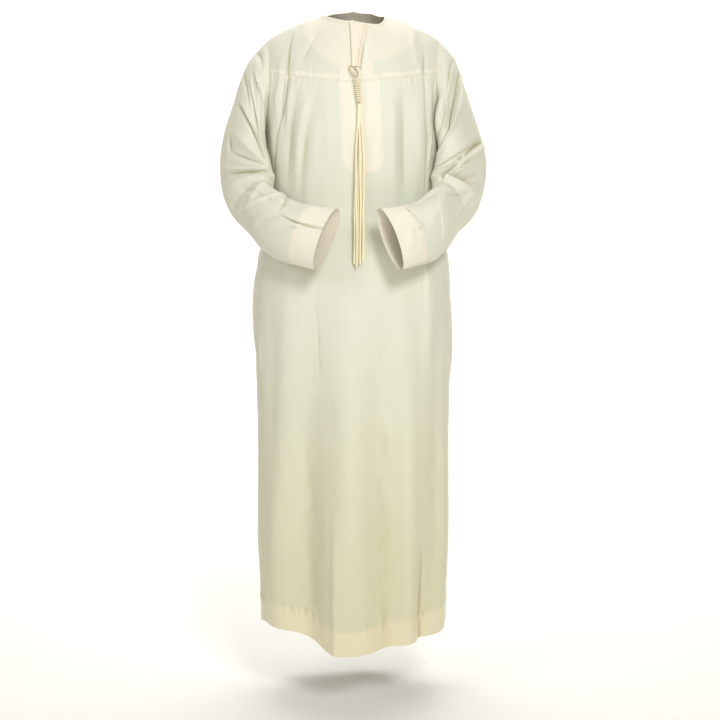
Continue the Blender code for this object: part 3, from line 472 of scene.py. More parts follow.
def wrapped(angle: Array) -> Array:
    """An angle brought between half a turn back and half a turn on."""
    return (angle + np.pi) % FULL_TURN - np.pi


def unit(vectors: Array) -> Array:
    """Vectors scaled to length 1."""
    return vectors / np.linalg.norm(vectors, axis=-1, keepdims=True)


def travelled(points: Array) -> Array:
    """How far along a line each of its points lies."""
    return np.concatenate([[0], np.cumsum(np.linalg.norm(np.diff(points, axis=0), axis=1))])


def relief(
    across: Array, up: Array, folds: Sequence[Crease], girth: float, run_on: bool = False
) -> Array:
    """Adds up the creases.

    Args:
        across: The way round, on the flat of the piece.
        up: The way up or down it.
        folds: The creases.
        girth: How far round the piece meets itself.
        run_on: Whether a crease carries on past its ends, as the solids' do, and doesn't fade.

    Returns:
        How far each place is pushed out.
    """
    total = np.zeros(np.shape(across))
    for fold in folds:
        run = fold.across1 - fold.across0
        climb = fold.up1 - fold.up0
        length = math.hypot(run, climb)
        dx = (across - fold.across0 + girth / 2) % girth - girth / 2
        dy = up - fold.up0
        down = (dx * run + dy * climb) / length
        t = np.clip(down / length, 0, 1)
        bow = 4 * t * (1 - t)
        side = (dx * climb - dy * run) / length - fold.bend * bow
        height = fold.start * (1 - t) + fold.middle * bow + fold.end * t
        near = np.abs(side / fold.width) ** fold.edge
        if not run_on:
            beyond = np.maximum(np.abs(down - length / 2) - length / 2, 0)
            near += (beyond / fold.width) ** 2
        lapped = 1 - abs(fold.lap) + fold.lap * np.tanh(side / (LAP_STEP * fold.width))
        total += height * lapped * np.exp(-near)
    return total


def drift(points: Array, seed: int, spans: Point, size: float) -> Array:
    """Gives the slow unevenness of hanging cloth, the same for every piece at one place.

    Args:
        points: Places on the cloth.
        seed: Picks the waves.
        spans: About how far apart the swells lie along X, Y and Z.
        size: About how far they stand out.

    Returns:
        How far each place is pushed out.
    """
    picks = np.random.default_rng(seed)
    total = np.zeros(points.shape[:-1])
    waves = 10
    for _ in range(waves):
        bearing = picks.normal(size=3) / np.array(spans)
        total += np.sin(points @ bearing * np.pi + picks.uniform(0, FULL_TURN))
    return size * total / math.sqrt(waves)


# The length, share and start of each wave that the gathers along a seam are made up of, then the
# length of the swell in them
GATHER_WAVES = ((0.0171, 1.0, 0.0), (0.0257, 0.7, 1.3), (0.0118, 0.5, 2.1))
GATHER_SWELL = 0.143


def puckers(distance: Array, along: Array, size: float, width: float) -> Array:
    """Gives the small gathers that a row of stitches draws up on both sides of itself.

    Args:
        distance: How far each place is from the stitches.
        along: How far along them it is.
        size: How deep the gathers are.
        width: How far they reach.

    Returns:
        How far each place is pushed out.
    """
    turns = along * FULL_TURN
    wave = sum(part * np.sin(turns / length + start) for length, part, start in GATHER_WAVES)
    uneven = 0.55 + 0.45 * np.sin(turns / GATHER_SWELL + 0.6)
    return size * wave * uneven * bell(distance, width)


def between(values: Array, rows: Array, stations: Array) -> Array:
    """Reads a grid at fractional rows and columns, straight between neighbours.

    Args:
        values: The grid.
        rows: The rows to read at.
        stations: The columns to read at.

    Returns:
        The values there.
    """
    row = np.clip(np.floor(rows).astype(int), 0, values.shape[0] - 2)
    col = np.clip(np.floor(stations).astype(int), 0, values.shape[1] - 2)
    r = (rows - row)[..., None]
    c = (stations - col)[..., None]
    near = values[row, col] * (1 - c) + values[row, col + 1] * c
    far = values[row + 1, col] * (1 - c) + values[row + 1, col + 1] * c
    return near * (1 - r) + far * r


def fine_steps(low: float, high: float, count: int, inset: float) -> Array:
    """Even steps from low to high, with closer ones within inset of each end.

    Args:
        low: The first step.
        high: The last.
        count: How many even steps there are.
        inset: How far the closer ones reach in.

    Returns:
        The steps.
    """
    close = np.array([0.15, 0.45]) * inset
    even = np.linspace(low + inset, high - inset, count)
    return np.concatenate([[low], low + close, even, high - close[::-1], [high]])


# ---- finishes ----


def linear(code: str) -> tuple[float, float, float, float]:
    """Turns an sRGB hex colour into linear RGB with full opacity.

    Args:
        code: The colour, as #rrggbb.

    Returns:
        Red, green, blue and opacity.
    """
    parts = [int(code[i : i + 2], 16) / 255 for i in (1, 3, 5)]
    red, green, blue = (p / 12.92 if p <= 0.04045 else ((p + 0.055) / 1.055) ** 2.4 for p in parts)
    return red, green, blue, 1.0


def wire(tree: Tree, node: Node, inputs: dict[str | int, Any]) -> None:
    """Sets each named or numbered input of a node to a plain value, or links an output to it.

    Args:
        tree: The material's node tree.
        node: The node.
        inputs: A value or socket for each input's name or number.
    """
    for name, value in inputs.items():
        if isinstance(value, Socket):
            tree.links.new(value, node.inputs[name])
        else:
            node.inputs[name].default_value = value


def add_node(
    tree: Tree,
    kind: str,
    inputs: dict[str | int, Any] | None = None,
    out: str | int = 0,
    **settings: Any,
) -> Socket:
    """Adds a node.

    Args:
        tree: The material's node tree.
        kind: The node's Blender type, without its ShaderNode prefix.
        inputs: For each input's name or number, a plain value, or the output socket to link to it.
        out: The name or number of the output to give back.
        settings: Properties of the node.

    Returns:
        The output socket.
    """
    node = tree.nodes.new(f"ShaderNode{kind}")
    for name, value in settings.items():
        setattr(node, name, value)
    wire(tree, node, inputs or {})
    return node.outputs[out]


def principled(name: str) -> tuple[Material, Tree, Node]:
    """A new material, with its node tree and its shader.

    Args:
        name: The material's name.

    Returns:
        The material, its tree and its shader.
    """
    made = bpy.data.materials.new(name)
    made.use_nodes = True
    return made, made.node_tree, made.node_tree.nodes["Principled BSDF"]


@dataclass(frozen=True)
class WovenPolyester:
    """Polyester woven plain from fine bright filament, then heat-set.

    It gives the eye a matt ivory that warms and thickens to cream wherever two layers lie together,
    with a soft silky bloom on the folds and faint streaks where the yarn runs uneven. Its colour
    also carries painted shade, warmer and darker deep in folds, darker and yellower towards the
    hem.
    """

    name: str
    single: str
    doubled: str
    # Painted shade: the cloth's colour is tinted warmer and darker where it lies sunk in its folds,
    # and darker still where it lies deepest.
    valley: str = "#d6ccb0"
    pit_shade: str = "#a89c80"
    pit_shade_from: float = 0.4
    # Painted shade: towards the hem the cloth's colour is tinted darker and yellower.
    low: str = "#faf5e4"
    low_shade_from: float = -0.68
    low_shade_to: float = -1.25
    roughness: float = 0.52
    ior: float = 1.5
    sheen: float = 0.35
    sheen_roughness: float = 0.45
    sheen_tint: str = "#fffbe9"
    # The real threads lie 0.25 mm apart. They are drawn 1 mm apart, the finest that shows.
    thread_spacing: float = 0.0010
    thread_stand: float = 0.0004
    bump_strength: float = 0.22
    # Uneven yarn shows as streaks a few millimetres wide and a hand long, down the cloth.
    streak_width: float = 0.006
    streak_length: float = 0.12
    streak_stand: float = 0.6
    streak_dark: float = 0.955
    streak_light: float = 1.035

    def material(self) -> Material:
        """Makes the material.

        Returns:
            The material, which reads the cut's flat places and how far the cloth is doubled.
        """
        made, tree, shader = principled(self.name)
        flat = add_node(tree, "UVMap", uv_map="cut")
        scale = (1 / self.streak_width, 1 / self.streak_length, 1.0)
        stretched = add_node(tree, "Mapping", {"Vector": flat, "Scale": scale})
        noise = {"Vector": stretched, "Scale": 1.0, "Detail": 3.0, "Roughness": 0.6}
        streaks = add_node(tree, "TexNoise", noise, "Fac")
        ends = {"To Min": self.roughness - 0.05, "To Max": self.roughness + 0.06}
        inputs = {
            "Base Color": self.tone(tree, flat, streaks),
            "Roughness": add_node(tree, "MapRange", {"Value": streaks, **ends}),
            "Normal": self.weave(tree, flat, streaks),
            "IOR": self.ior,
            "Sheen Weight": self.sheen,
            "Sheen Roughness": self.sheen_roughness,
            "Sheen Tint": linear(self.sheen_tint),
        }
        wire(tree, shader, inputs)
        return made

    def tone(self, tree: Tree, flat: Socket, streaks: Socket) -> Socket:
        """Mixes the cloth's colour, with its streaks and with painted shade in folds and towards
        the hem.

        Args:
            tree: The material's node tree.
            flat: Places on the flat of the cut, in metres.
            streaks: The unevenness of the yarn.

        Returns:
            The socket of the colour.
        """
        layers, fold_shade = (
            add_node(tree, "Attribute", out="Fac", attribute_name=name)
            for name in ("doubled", "fold_shade")
        )
        height = add_node(tree, "SeparateXYZ", {"Vector": flat}, "Y")
        spans = (
            (streaks, {"To Min": self.streak_dark, "To Max": self.streak_light}),
            (fold_shade, {"From Max": self.pit_shade_from}),
            (fold_shade, {"From Min": self.pit_shade_from}),
            (height, {"From Min": self.low_shade_from, "From Max": self.low_shade_to}),
        )
        # The first of these is the yarn's streak tone, not shade; the other three are masks of
        # painted shade.
        shade, shallow, deep, low_shade_share = (
            add_node(tree, "MapRange", {"Value": value, **ends}) for value, ends in spans
        )
        ply = {"Factor": layers, 6: linear(self.single), 7: linear(self.doubled)}
        tone = add_node(tree, "Mix", ply, 2, data_type="RGBA")
        # The first tint is the yarn's streaks, the cloth's own tone. The others are painted shade:
        # two steps by the depth of a fold, then darker and yellower towards the hem.
        tints = (
            (1.0, shade),
            (shallow, linear(self.valley)),
            (deep, linear(self.pit_shade)),
            (low_shade_share, linear(self.low)),
        )
        for share, tint in tints:
            mix = {"Factor": share, 6: tone, 7: tint}
            tone = add_node(tree, "Mix", mix, 2, data_type="RGBA", blend_type="MULTIPLY")
        return tone

    def weave(self, tree: Tree, flat: Socket, streaks: Socket) -> Socket:
        """Raises the warp, the weft and the uneven yarn.

        Args:
            tree: The material's node tree.
            flat: Places on the flat of the cut, in metres.
            streaks: The unevenness of the yarn.

        Returns:
            The socket of the normal.
        """
        # A Wave texture's bands lie pi / 10 apart at scale 1.
        scale = math.pi / 10 / self.thread_spacing
        wave = {"Vector": flat, "Scale": scale, "Distortion": 0.6, "Detail": 1.0}
        warp, weft = (add_node(tree, "TexWave", wave, "Fac", bands_direction=way) for way in "XY")
        woven = add_node(tree, "Math", {0: warp, 1: weft}, operation="MULTIPLY")
        parts = {0: streaks, 1: self.streak_stand, 2: woven}
        height = add_node(tree, "Math", parts, operation="MULTIPLY_ADD")
        bump = {"Strength": self.bump_strength, "Distance": self.thread_stand}
        return add_node(tree, "Bump", {"Height": height, **bump})


@dataclass(frozen=True)
class TwistedFilament:
    """Bright polyester filament, twisted into cord or sewing thread.

    It gives the eye a silky beige with light running along the ply, and painted shade, a darker
    brown, between its filaments.
    """

    name: str
    colour: str
    groove_shade: str
    roughness: float = 0.38
    ior: float = 1.5
    sheen: float = 0.5
    sheen_roughness: float = 0.4
    # A filament is 0.02 mm, so the fine lines along the ply are drawn 0.5 mm apart.
    filament_spacing: float = 0.0005
    # How many times as long as wide the lines are
    slenderness: float = 16

    def material(self) -> Material:
        """Makes the material.

        Returns:
            The material.
        """
        made, tree, shader = principled(self.name)
        place = add_node(tree, "TexCoord", out="Object")
        scale = 1 / self.filament_spacing
        scales = (scale, scale, scale / self.slenderness)
        stretched = add_node(tree, "Mapping", {"Vector": place, "Scale": scales})
        noise = {"Vector": stretched, "Scale": 1.0, "Detail": 2.0}
        lines = add_node(tree, "TexNoise", noise, "Fac")
        # Painted shade: where the lines sink in the bump, the colour turns to the darker brown
        # between the filaments.
        mix = {"Factor": lines, 6: linear(self.groove_shade), 7: linear(self.colour)}
        bump = {"Height": lines, "Strength": 0.3, "Distance": 0.0003}
        inputs = {
            "Base Color": add_node(tree, "Mix", mix, 2, data_type="RGBA"),
            "Normal": add_node(tree, "Bump", bump),
            "Roughness": self.roughness,
            "IOR": self.ior,
            "Sheen Weight": self.sheen,
            "Sheen Roughness": self.sheen_roughness,
        }
        wire(tree, shader, inputs)
        return made


@dataclass(frozen=True)
class MattPaper:
    """Seamless studio paper, smooth and matt, which gives the eye an even pale ground."""

    name: str = "studio paper"
    colour: str = "#f4f4f2"
    roughness: float = 0.9
    # The pulp's grain is under a millimetre. On the 16 m sheet this draws it 18 mm wide.
    grain_scale: float = 900.0

    def material(self) -> Material:
        """Makes the material.

        Returns:
            The material.
        """
        made, tree, shader = principled(self.name)
        grain = add_node(tree, "TexNoise", {"Scale": self.grain_scale, "Detail": 2.0}, "Fac")
        bump = add_node(tree, "Bump", {"Height": grain, "Strength": 0.05, "Distance": 0.0005})
        colour = linear(self.colour)
        wire(tree, shader, {"Normal": bump, "Base Color": colour, "Roughness": self.roughness})
        return made


class Slot(Enum):
    """The record's finishes."""

    CLOTH = "cloth"
    DOUBLED = "doubled_cloth"
    CORD = "cord"


@dataclass
class Finishes:
    """The robe's materials, one for each use."""

    cloth: Material
    facing: Material
    cord: Material
    loop: Material
    core: Material
    thread: Material

    @classmethod
    def mixed(cls) -> "Finishes":
        """Makes the six materials."""
        return cls(
            WovenPolyester("polyester plain weave", "#d9dbca", "#e7e3d2").material(),
            WovenPolyester("polyester plain weave doubled", "#ebe4d1", "#ebe4d1").material(),
            TwistedFilament("polyester filament cord", "#fff8de", "#efe2b8").material(),
            # The loop's cord is coloured darker and browner than the tassel's, as painted shade for
            # its dark outline.
            TwistedFilament("polyester filament loop", "#ecd9a8", "#ab8d5c").material(),
            # The head's core is coloured dark brown as painted shade, to darken the gaps between
            # the head's turns.
            TwistedFilament("painted shade core", "#8a7040", "#5c4826").material(),
            TwistedFilament("polyester sewing thread", "#efe4c6", "#cdbf96").material(),
        )


# ---- cloth and cords as meshes ----


def make_object(
    name: str,
    corners: Array,
    faces: Array | Faces,
    material: Material,
    sharp_degrees: float = 50.0,
) -> Object:
    """Makes a smooth mesh object.

    Args:
        name: The piece's name.
        corners: Its points.
        faces: The corner numbers of each face, anticlockwise from outside.
        material: Its material.
        sharp_degrees: Edges bent more than this stay sharp.

    Returns:
        The object, in the scene.
    """
    mesh = bpy.data.meshes.new(name)
    mesh.from_pydata(np.asarray(corners).tolist(), [], [tuple(map(int, face)) for face in faces])
    mesh.shade_smooth()
    mesh.set_sharp_from_angle(angle=math.radians(sharp_degrees))
    mesh.materials.append(material)
    made = bpy.data.objects.new(name, mesh)
    bpy.context.scene.collection.objects.link(made)
    return made


def settle(piece: Object, node: str = "") -> Object:
    """Puts a piece on the frame, and hides the solid that it stands for, if any.

    Args:
        piece: The piece.
        node: The solid that it stands for, if any.

    Returns:
        The piece.
    """
    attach(piece, "root")
    if node:
        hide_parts(node)
    return piece


@dataclass
class Cloth:
    """A grid of points on a piece of cloth, with what its material and its layers need.

    Girth is how far round the flat goes where the last column meets the first, or 0 where the
    cloth isn't a ring.
    """

    points: Array
    normals: Array
    flat: Array
    doubled: Array
    girth: float = 0.0

    @classmethod
    def over(
        cls, points: Array, flat: Array, doubled: Array, outward: Array, girth: float = 0.0
    ) -> "Cloth":
        """Finds the normals of a grid.

        Args:
            points: Rows and columns of points.
            flat: Their places on the flat of the cut.
            doubled: How far the cloth is doubled at each, from 0 to 1.
            outward: A rough outward way at each, or one for all.
            girth: How far round the flat goes, for a ring.

        Returns:
            The cloth.
        """
        if girth:
            along_row = np.roll(points, -1, axis=1) - np.roll(points, 1, axis=1)
        else:
            along_row = np.gradient(points, axis=1)
        normals = unit(np.cross(along_row, np.gradient(points, axis=0)))
        if np.sum(normals * outward) < 0:
            normals = -normals
        return cls(points, normals, flat, doubled, girth)

    def pushed(self, amount: Array) -> "Cloth":
        """The cloth pushed out by an amount at each place."""
        points = self.points + self.normals * amount[..., None]
        return Cloth.over(points, self.flat, self.doubled, self.normals, self.girth)

    def rows(self, first: int | None, last: int | None) -> "Cloth":
        """Some of its rows, as one more layer."""
        parts = (self.points, self.normals, self.flat, self.doubled)
        return Cloth(*(part[first:last] for part in parts), self.girth)

    def sampled(self, rows: Array, stations: Array) -> "Cloth":
        """A patch of it.

        Args:
            rows: The fractional rows to read at.
            stations: The fractional columns.

        Returns:
            The patch.
        """
        points, flat, normals, doubled = (
            between(part, rows, stations)
            for part in (self.points, self.flat, self.normals, self.doubled[..., None])
        )
        return Cloth(points, unit(normals), flat, doubled[..., 0])

    def stations_at(self, rows: Array, x: Array) -> Array:
        """The fractional columns at which each row of it reaches the places x in its own row.

        Args:
            rows: The fractional rows.
            x: The places that each of them looks for.

        Returns:
            The columns, in the shape of x.
        """
        numbers = np.arange(self.points.shape[1], dtype=float)
        found = np.empty(x.shape)
        for index, row in enumerate(rows):
            line = between(self.points, np.full(len(numbers), row), numbers)
            found[index] = np.interp(x[index], line[:, 0], numbers)
        return found

    def rows_at(self, column: int, heights: Any) -> Array:
        """The fractional rows at which a column of it reaches the heights."""
        known = self.points[:, column, 2]
        return np.interp(heights, known, np.arange(len(known)))

    def line(self, row: int, lift: float) -> ArrayPair:
        """The points of a row, lifted off the grid, and the normals there."""
        return self.points[row] + self.normals[row] * lift, self.normals[row]

    # The fold depths mask the painted shade that darkens the cloth where it lies sunk in a fold.
    def fold_shade_mask(self) -> Array:
        """How deep each place lies in a fold, from 0 to 1, by what lies a few cells round it.

        Returns:
            The depths, in the shape of the grid.
        """
        cells, shallowest, span = 4, 0.0005, 0.0080
        size = 2 * cells + 1
        sides = "wrap" if self.girth else "edge"
        padded = np.pad(self.points, ((0, 0), (cells, cells), (0, 0)), mode=sides)
        padded = np.pad(padded, ((cells, cells), (0, 0), (0, 0)), mode="edge")
        windows = np.lib.stride_tricks.sliding_window_view(padded, (size, size), axis=(0, 1))
        sunk = np.sum((windows.mean(axis=(-2, -1)) - self.points) * self.normals, axis=-1)
        return np.clip((sunk - shallowest) / span, 0, 1)

    def shell(self, name: str, material: Material, thickness: float, depth: float = 0.0) -> Object:
        """Makes a closed shell of cloth about the grid.

        Args:
            name: The piece's name.
            material: Its material.
            thickness: How thick it is.
            depth: How far inside the grid its middle lies.

        Returns:
            The object, with a UV map in metres, how far the cloth is doubled, and how deep it lies
            in a fold, which masks the painted shade.
        """
        middle = self.points - self.normals * depth
        half = self.normals * thickness / 2
        sides = [(middle + half).reshape(-1, 3), (middle - half).reshape(-1, 3)]
        count = len(sides[0])
        index = np.arange(count).reshape(self.points.shape[:2])
        flat = self.flat
        if self.girth:
            index = np.hstack([index, index[:, :1]])
            flat = np.concatenate([flat, flat[:, :1] + np.array([self.girth, 0.0])], axis=1)
        place = np.arange(index.size).reshape(index.shape)
        outer = np.stack([place[:-1, :-1], place[:-1, 1:], place[1:, 1:], place[1:, :-1]], -1)
        outer = outer.reshape(-1, 4)
        edges = [(place[0, 1:], place[0, :-1]), (place[-1, :-1], place[-1, 1:])]
        if not self.girth:
            edges += [(place[:-1, 0], place[1:, 0]), (place[1:, -1], place[:-1, -1])]
        rims = np.concatenate([np.stack([a, b, b, a], -1) for a, b in edges])
        places = np.concatenate([outer, outer[:, [0, 3, 2, 1]], rims])
        layers = np.concatenate([0 * outer, 0 * outer + 1, np.tile([0, 0, 1, 1], (len(rims), 1))])
        faces = index.reshape(-1)[places] + layers * count
        a, b, d = (sides[0][faces[0, i]] for i in (0, 1, 3))
        if np.dot(np.cross(b - a, d - a), self.normals.reshape(-1, 3)[0]) < 0:
            faces, places = faces[:, [0, 3, 2, 1]], places[:, [0, 3, 2, 1]]
        made = make_object(name, np.concatenate(sides), faces, material)
        uv = made.data.uv_layers.new(name="cut")
        uv.data.foreach_set("uv", flat.reshape(-1, 2)[places.ravel()].astype(np.float32).ravel())
        # Both go on as point attributes; the fold depths mask the painted shade in the material.
        for word, values in (("doubled", self.doubled), ("fold_shade", self.fold_shade_mask())):
            attribute = made.data.attributes.new(word, "FLOAT", "POINT")
            attribute.data.foreach_set("value", np.tile(values.ravel(), 2).astype(np.float32))
        return made


def tube(centres: Array, across: Array, over: Array, sides: int, closed: bool = False) -> Shape:
    """Works out a strip or cord along centres, with capped ends unless it is closed.

    Args:
        centres: The middle of each section.
        across: Each section's half way across.
        over: Each section's half way over.
        sides: How many sides each section has.
        closed: Whether the last section meets the first.

    Returns:
        Its corners and faces.
    """
    turns = np.arange(sides) * FULL_TURN / sides + np.pi / sides
    rings = centres[:, None] + across[:, None] * np.cos(turns)[:, None]
    rings = rings + over[:, None] * np.sin(turns)[:, None]
    here = np.arange(rings.size // 3).reshape(-1, sides)
    there = np.roll(here, -1, axis=0)
    quads = np.stack([here, np.roll(here, -1, axis=1), np.roll(there, -1, axis=1), there], -1)
    faces = (quads if closed else quads[:-1]).reshape(-1, 4).tolist()
    if not closed:
        faces += [here[0, ::-1].tolist(), here[-1].tolist()]
    if np.dot(np.cross(across[0], over[0]), centres[1] - centres[0]) < 0:
        faces = [face[::-1] for face in faces]
    return rings.reshape(-1, 3), faces


def merge(parts: Sequence[Shape]) -> Shape:
    """Puts several sets of corners and faces into one.

    Args:
        parts: The corners and faces of each.

    Returns:
        All the corners and all the faces.
    """
    faces: Faces = []
    start = 0
    for points, quads in parts:
        faces += [[start + number for number in face] for face in quads]
        start += len(points)
    return np.concatenate([points for points, _ in parts]), faces


def ways_round(along: Array) -> ArrayPair:
    """The ways across and over a cord, square to the way along it and level with the front."""
    across = unit(np.cross(along, FRONT))
    return across, np.cross(across, along)


def wound(angle: Array, across: Array, over: Array) -> Array:
    """The way out from a cord's middle at each angle round it."""
    return np.cos(angle) * across + np.sin(angle) * over


@dataclass
class Topstitch:
    """Machine stitches in a row, each a short raised lens of thread."""

    thread: Material
    pitch: float = 0.0036
    length: float = 0.0028
    half_width: float = 0.00032
    stand: float = 0.00030

    def row(self, name: str, points: Array, normals: Array) -> Object:
        """Sews one row.

        Args:
            name: The row's name.
            points: A line on the cloth's outer face.
            normals: The cloth's normals along it.

        Returns:
            The row of stitches, riding on the robe.
        """
        reached = travelled(points)
        at = np.arange(self.pitch / 2, reached[-1], self.pitch)

        def read(line: Array, ahead: float = 0.0) -> Array:
            """A line's value at each stitch, or a little ahead of it."""
            return np.stack([np.interp(at + ahead, reached, line[:, i]) for i in range(3)], -1)

        normal = unit(read(normals))
        along = unit(read(points, STEP) - read(points, -STEP))
        side = np.cross(normal, along)
        middle = read(points) + normal * self.stand / 3
        end, edge, top = along * self.length / 2, side * self.half_width, normal * self.stand
        corners = np.stack([middle + way for way in (end, edge, top, -edge, -top, -end)], 1)
        ring = [(1, 2), (2, 3), (3, 4), (4, 1)]
        lens = np.array([(0, a, b) for a, b in ring] + [(5, b, a) for a, b in ring])
        faces = (lens + np.arange(len(at))[:, None, None] * corners.shape[1]).reshape(-1, 3)
        return settle(make_object(name, corners.reshape(-1, 3), faces, self.thread))


# ---- the robe's form ----


@dataclass
class Form:
    """The worn form that every piece of the body is cut from.

    Level runs 0 at the hem, 1 at the armpits and 2 on the shoulder ridge, and turn is 0 at the
    centre front. Over the shoulders, pass_over runs from -1 at the front armpit to 1 at the back.
    """

    hem: float = -1.42
    armpit: float = -0.265
    # How square the arch is, seen from the side
    arch_front: float = 2.0
    arch_back: float = 2.8
    arch_length: float = 0.27
    arch_width: float = 0.22
    girth_per_radian: float = 0.17
    width_of_share: float = 0.267
    neck_half_width: float = 0.0715
    neck_front: float = 0.075
    neck_back: float = 0.062
    neck_sag: float = 0.18
    neck_sag_at: float = math.radians(50)
    neck_sag_reach: float = math.radians(30)
    seam_at_centre: float = -0.150
    seam_half_width: float = 0.18
    seam_rise: float = 0.024
    seam_rise_at: float = 0.185
    seam_rise_power: float = 1.4
    back_seam_height: float = -0.120
    # Half of the 0.5 mm between the pieces at a seam, as a share of the arch
    seam_share: float = 0.0005 / 2 / 0.27

    def shoulder_edge(self, share: Array) -> Array:
        """The turn at which the armhole cuts the arch, from the armpit (0) to the ridge (1)."""
        return np.radians(columns(SHOULDERS, share)[1])

    def plain(self, turn: Array, level: Array) -> Array:
        """Points of the body with no creases.

        Args:
            turn: The angle from the centre front.
            level: Its level.

        Returns:
            The points.
        """
        share = np.maximum(level - 1, 0)
        bottom = self.hem + follow(HEM_RISES, np.degrees(wrapped(turn)))
        height = self.armpit + (bottom - self.armpit) * (1 - np.minimum(level, 1))
        half_width, front, back, power = columns(BODY_RINGS, height)
        half_width = np.where(share > 0, columns(SHOULDERS, share)[0], half_width)
        ahead = np.cos(turn) > 0
        ring = reach(turn, power)
        x = half_width * ring * np.sin(turn)
        rise = share * np.pi / 2
        arch = reach(rise, np.where(ahead, self.arch_front, self.arch_back))
        y = -np.where(ahead, front, back) * ring * np.cos(turn) * arch * np.cos(rise)
        top = follow(RIDGE_HEIGHTS, np.abs(x))
        z = height + (top - self.armpit) * arch * np.sin(rise)
        return np.stack([x, y, z], -1)

    def creased(self, turn: Array, level: Array) -> Array:
        """Points of the body with all its creases and its drift.

        Args:
            turn: The angle from the centre front.
            level: Its level.

        Returns:
            The points.
        """
        points = self.plain(turn, level)
        by_turn = self.plain(turn + STEP, level) - self.plain(turn - STEP, level)
        by_level = self.plain(turn, level + STEP) - self.plain(turn, level - STEP)
        normals = unit(np.cross(by_turn, by_level))
        across, up = self.girth_per_radian * turn, points[..., 2]
        girth = FULL_TURN * self.girth_per_radian
        raised = relief(across, up, MAIN_BODY_CREASES, girth, run_on=True)
        raised += relief(across, up, FINE_BODY_CREASES, girth)
        raised += drift(points, 3, (0.10, 0.10, 0.42), 0.0010)
        raised += drift(points, 8, (0.045, 0.045, 0.09), 0.00035)
        return points + normals * raised[..., None]

    def at(self, share: Array, level: Array, behind: Any) -> Array:
        """Points of the front or the back of the body.

        Args:
            share: The share across, from -1 at the wearer's right seam to 1 at the left.
            level: The level.
            behind: Whether each is on the back.

        Returns:
            The points.
        """
        turn = share * self.shoulder_edge(np.maximum(level - 1, 0))
        return self.creased(np.where(behind, np.pi - turn, turn), level)

    def over_shoulders(self, share: Array, pass_over: Array) -> Array:
        """Points of the arch from front to back.

        Args:
            share: The shares across.
            pass_over: The places over the shoulders.

        Returns:
            The points.
        """
        level = 2 - np.abs(pass_over)
        turn = share * self.shoulder_edge(level - 1)
        return self.creased(np.where(pass_over > 0, np.pi - turn, turn), level)

    def on_arch(self, share: Array, pass_over: Array) -> ArrayPair:
        """Points and normals of the arch.

        Args:
            share: The shares across.
            pass_over: The places over the shoulders.

        Returns:
            The points and the normals.
        """
        arch = self.over_shoulders
        by_share = arch(share + STEP, pass_over) - arch(share - STEP, pass_over)
        by_pass = arch(share, pass_over + STEP) - arch(share, pass_over - STEP)
        return arch(share, pass_over), unit(np.cross(by_share, by_pass))

    def arch_place(
        self, x: Array, y: Array | None = None, z: Array | None = None, behind: bool = False
    ) -> ArrayPair:
        """Finds a place on the arch, by rounds that each come nearer to it.

        Args:
            x: Its distance from the centre.
            y: Its distance from the ridge, if that is known.
            z: Its height, if that is known.
            behind: Whether it is on the back.

        Returns:
            Its share and pass_over.
        """
        ring = BODY_RINGS[-1]
        power = self.arch_back if behind else self.arch_front
        depth = ring.back if behind else ring.front
        share = np.full(np.shape(x), 0.6)
        for _ in range(12):
            across = np.abs(x) / columns(SHOULDERS, share)[0]
            ahead = (1 - across**ring.power) ** (1 / ring.power)
            if z is None:
                part = np.abs(y) / depth / ahead
            else:
                part = (z - self.armpit) / (follow(RIDGE_HEIGHTS, np.abs(x)) - self.armpit)
            part = np.clip(part, 1e-6, 0.9999)
            angle = np.arctan((part**-power - 1) ** (1 / power))
            share = (angle if z is None else np.pi / 2 - angle) * 2 / np.pi
        turn = np.arctan2(across, ahead)
        pass_over = np.where(behind, 1 - share, share - 1)
        return np.sign(x) * turn / self.shoulder_edge(share), pass_over

    def neckline(self, angle: Array) -> ArrayPair:
        """Share and pass_over of the neck hole's edge, by the angle from the centre front.

        Args:
            angle: The angle from the centre front.

        Returns:
            Its share and pass_over.
        """
        sag = 1 + self.neck_sag * bell(wrapped(angle - self.neck_sag_at), self.neck_sag_reach)
        x = self.neck_half_width * sag * np.sin(angle)
        behind = np.cos(angle) < 0
        y = np.where(behind, self.neck_back, self.neck_front) * sag * np.abs(np.cos(angle))
        at_front = self.arch_place(x, y=y)
        at_back = self.arch_place(x, y=y, behind=True)
        share, pass_over = (np.where(behind, b, f) for f, b in zip(at_front, at_back))
        return share, pass_over

    def yoke_seam(self, shares: Array, behind: bool) -> Array:
        """The pass_over of the front or back yoke seam at each share across.

        Args:
            shares: The shares across.
            behind: Whether it is the back seam.

        Returns:
            The seam's pass_over at each.
        """
        x = np.linspace(-self.seam_half_width, self.seam_half_width, 41)
        if behind:
            height = np.full(x.shape, self.back_seam_height)
        else:
            rise = (np.abs(x) / self.seam_rise_at) ** self.seam_rise_power
            height = self.seam_at_centre + self.seam_rise * rise
        known, passes = self.arch_place(x, z=height, behind=behind)
        slope = (passes[1] - passes[0]) / (known[1] - known[0])
        end = passes[0] - slope * (1 + known[0])
        return through([-1, *known, 1], [end, *passes, end], shares)

    def arm_ends(self) -> Pair:
        """The pass_over of the yoke's front and back corners at the armhole."""
        front, back = (float(self.yoke_seam(np.array([1.0]), side)[0]) for side in (False, True))
        return front + self.seam_share, back - self.seam_share


# ---- sub-assemblies ----


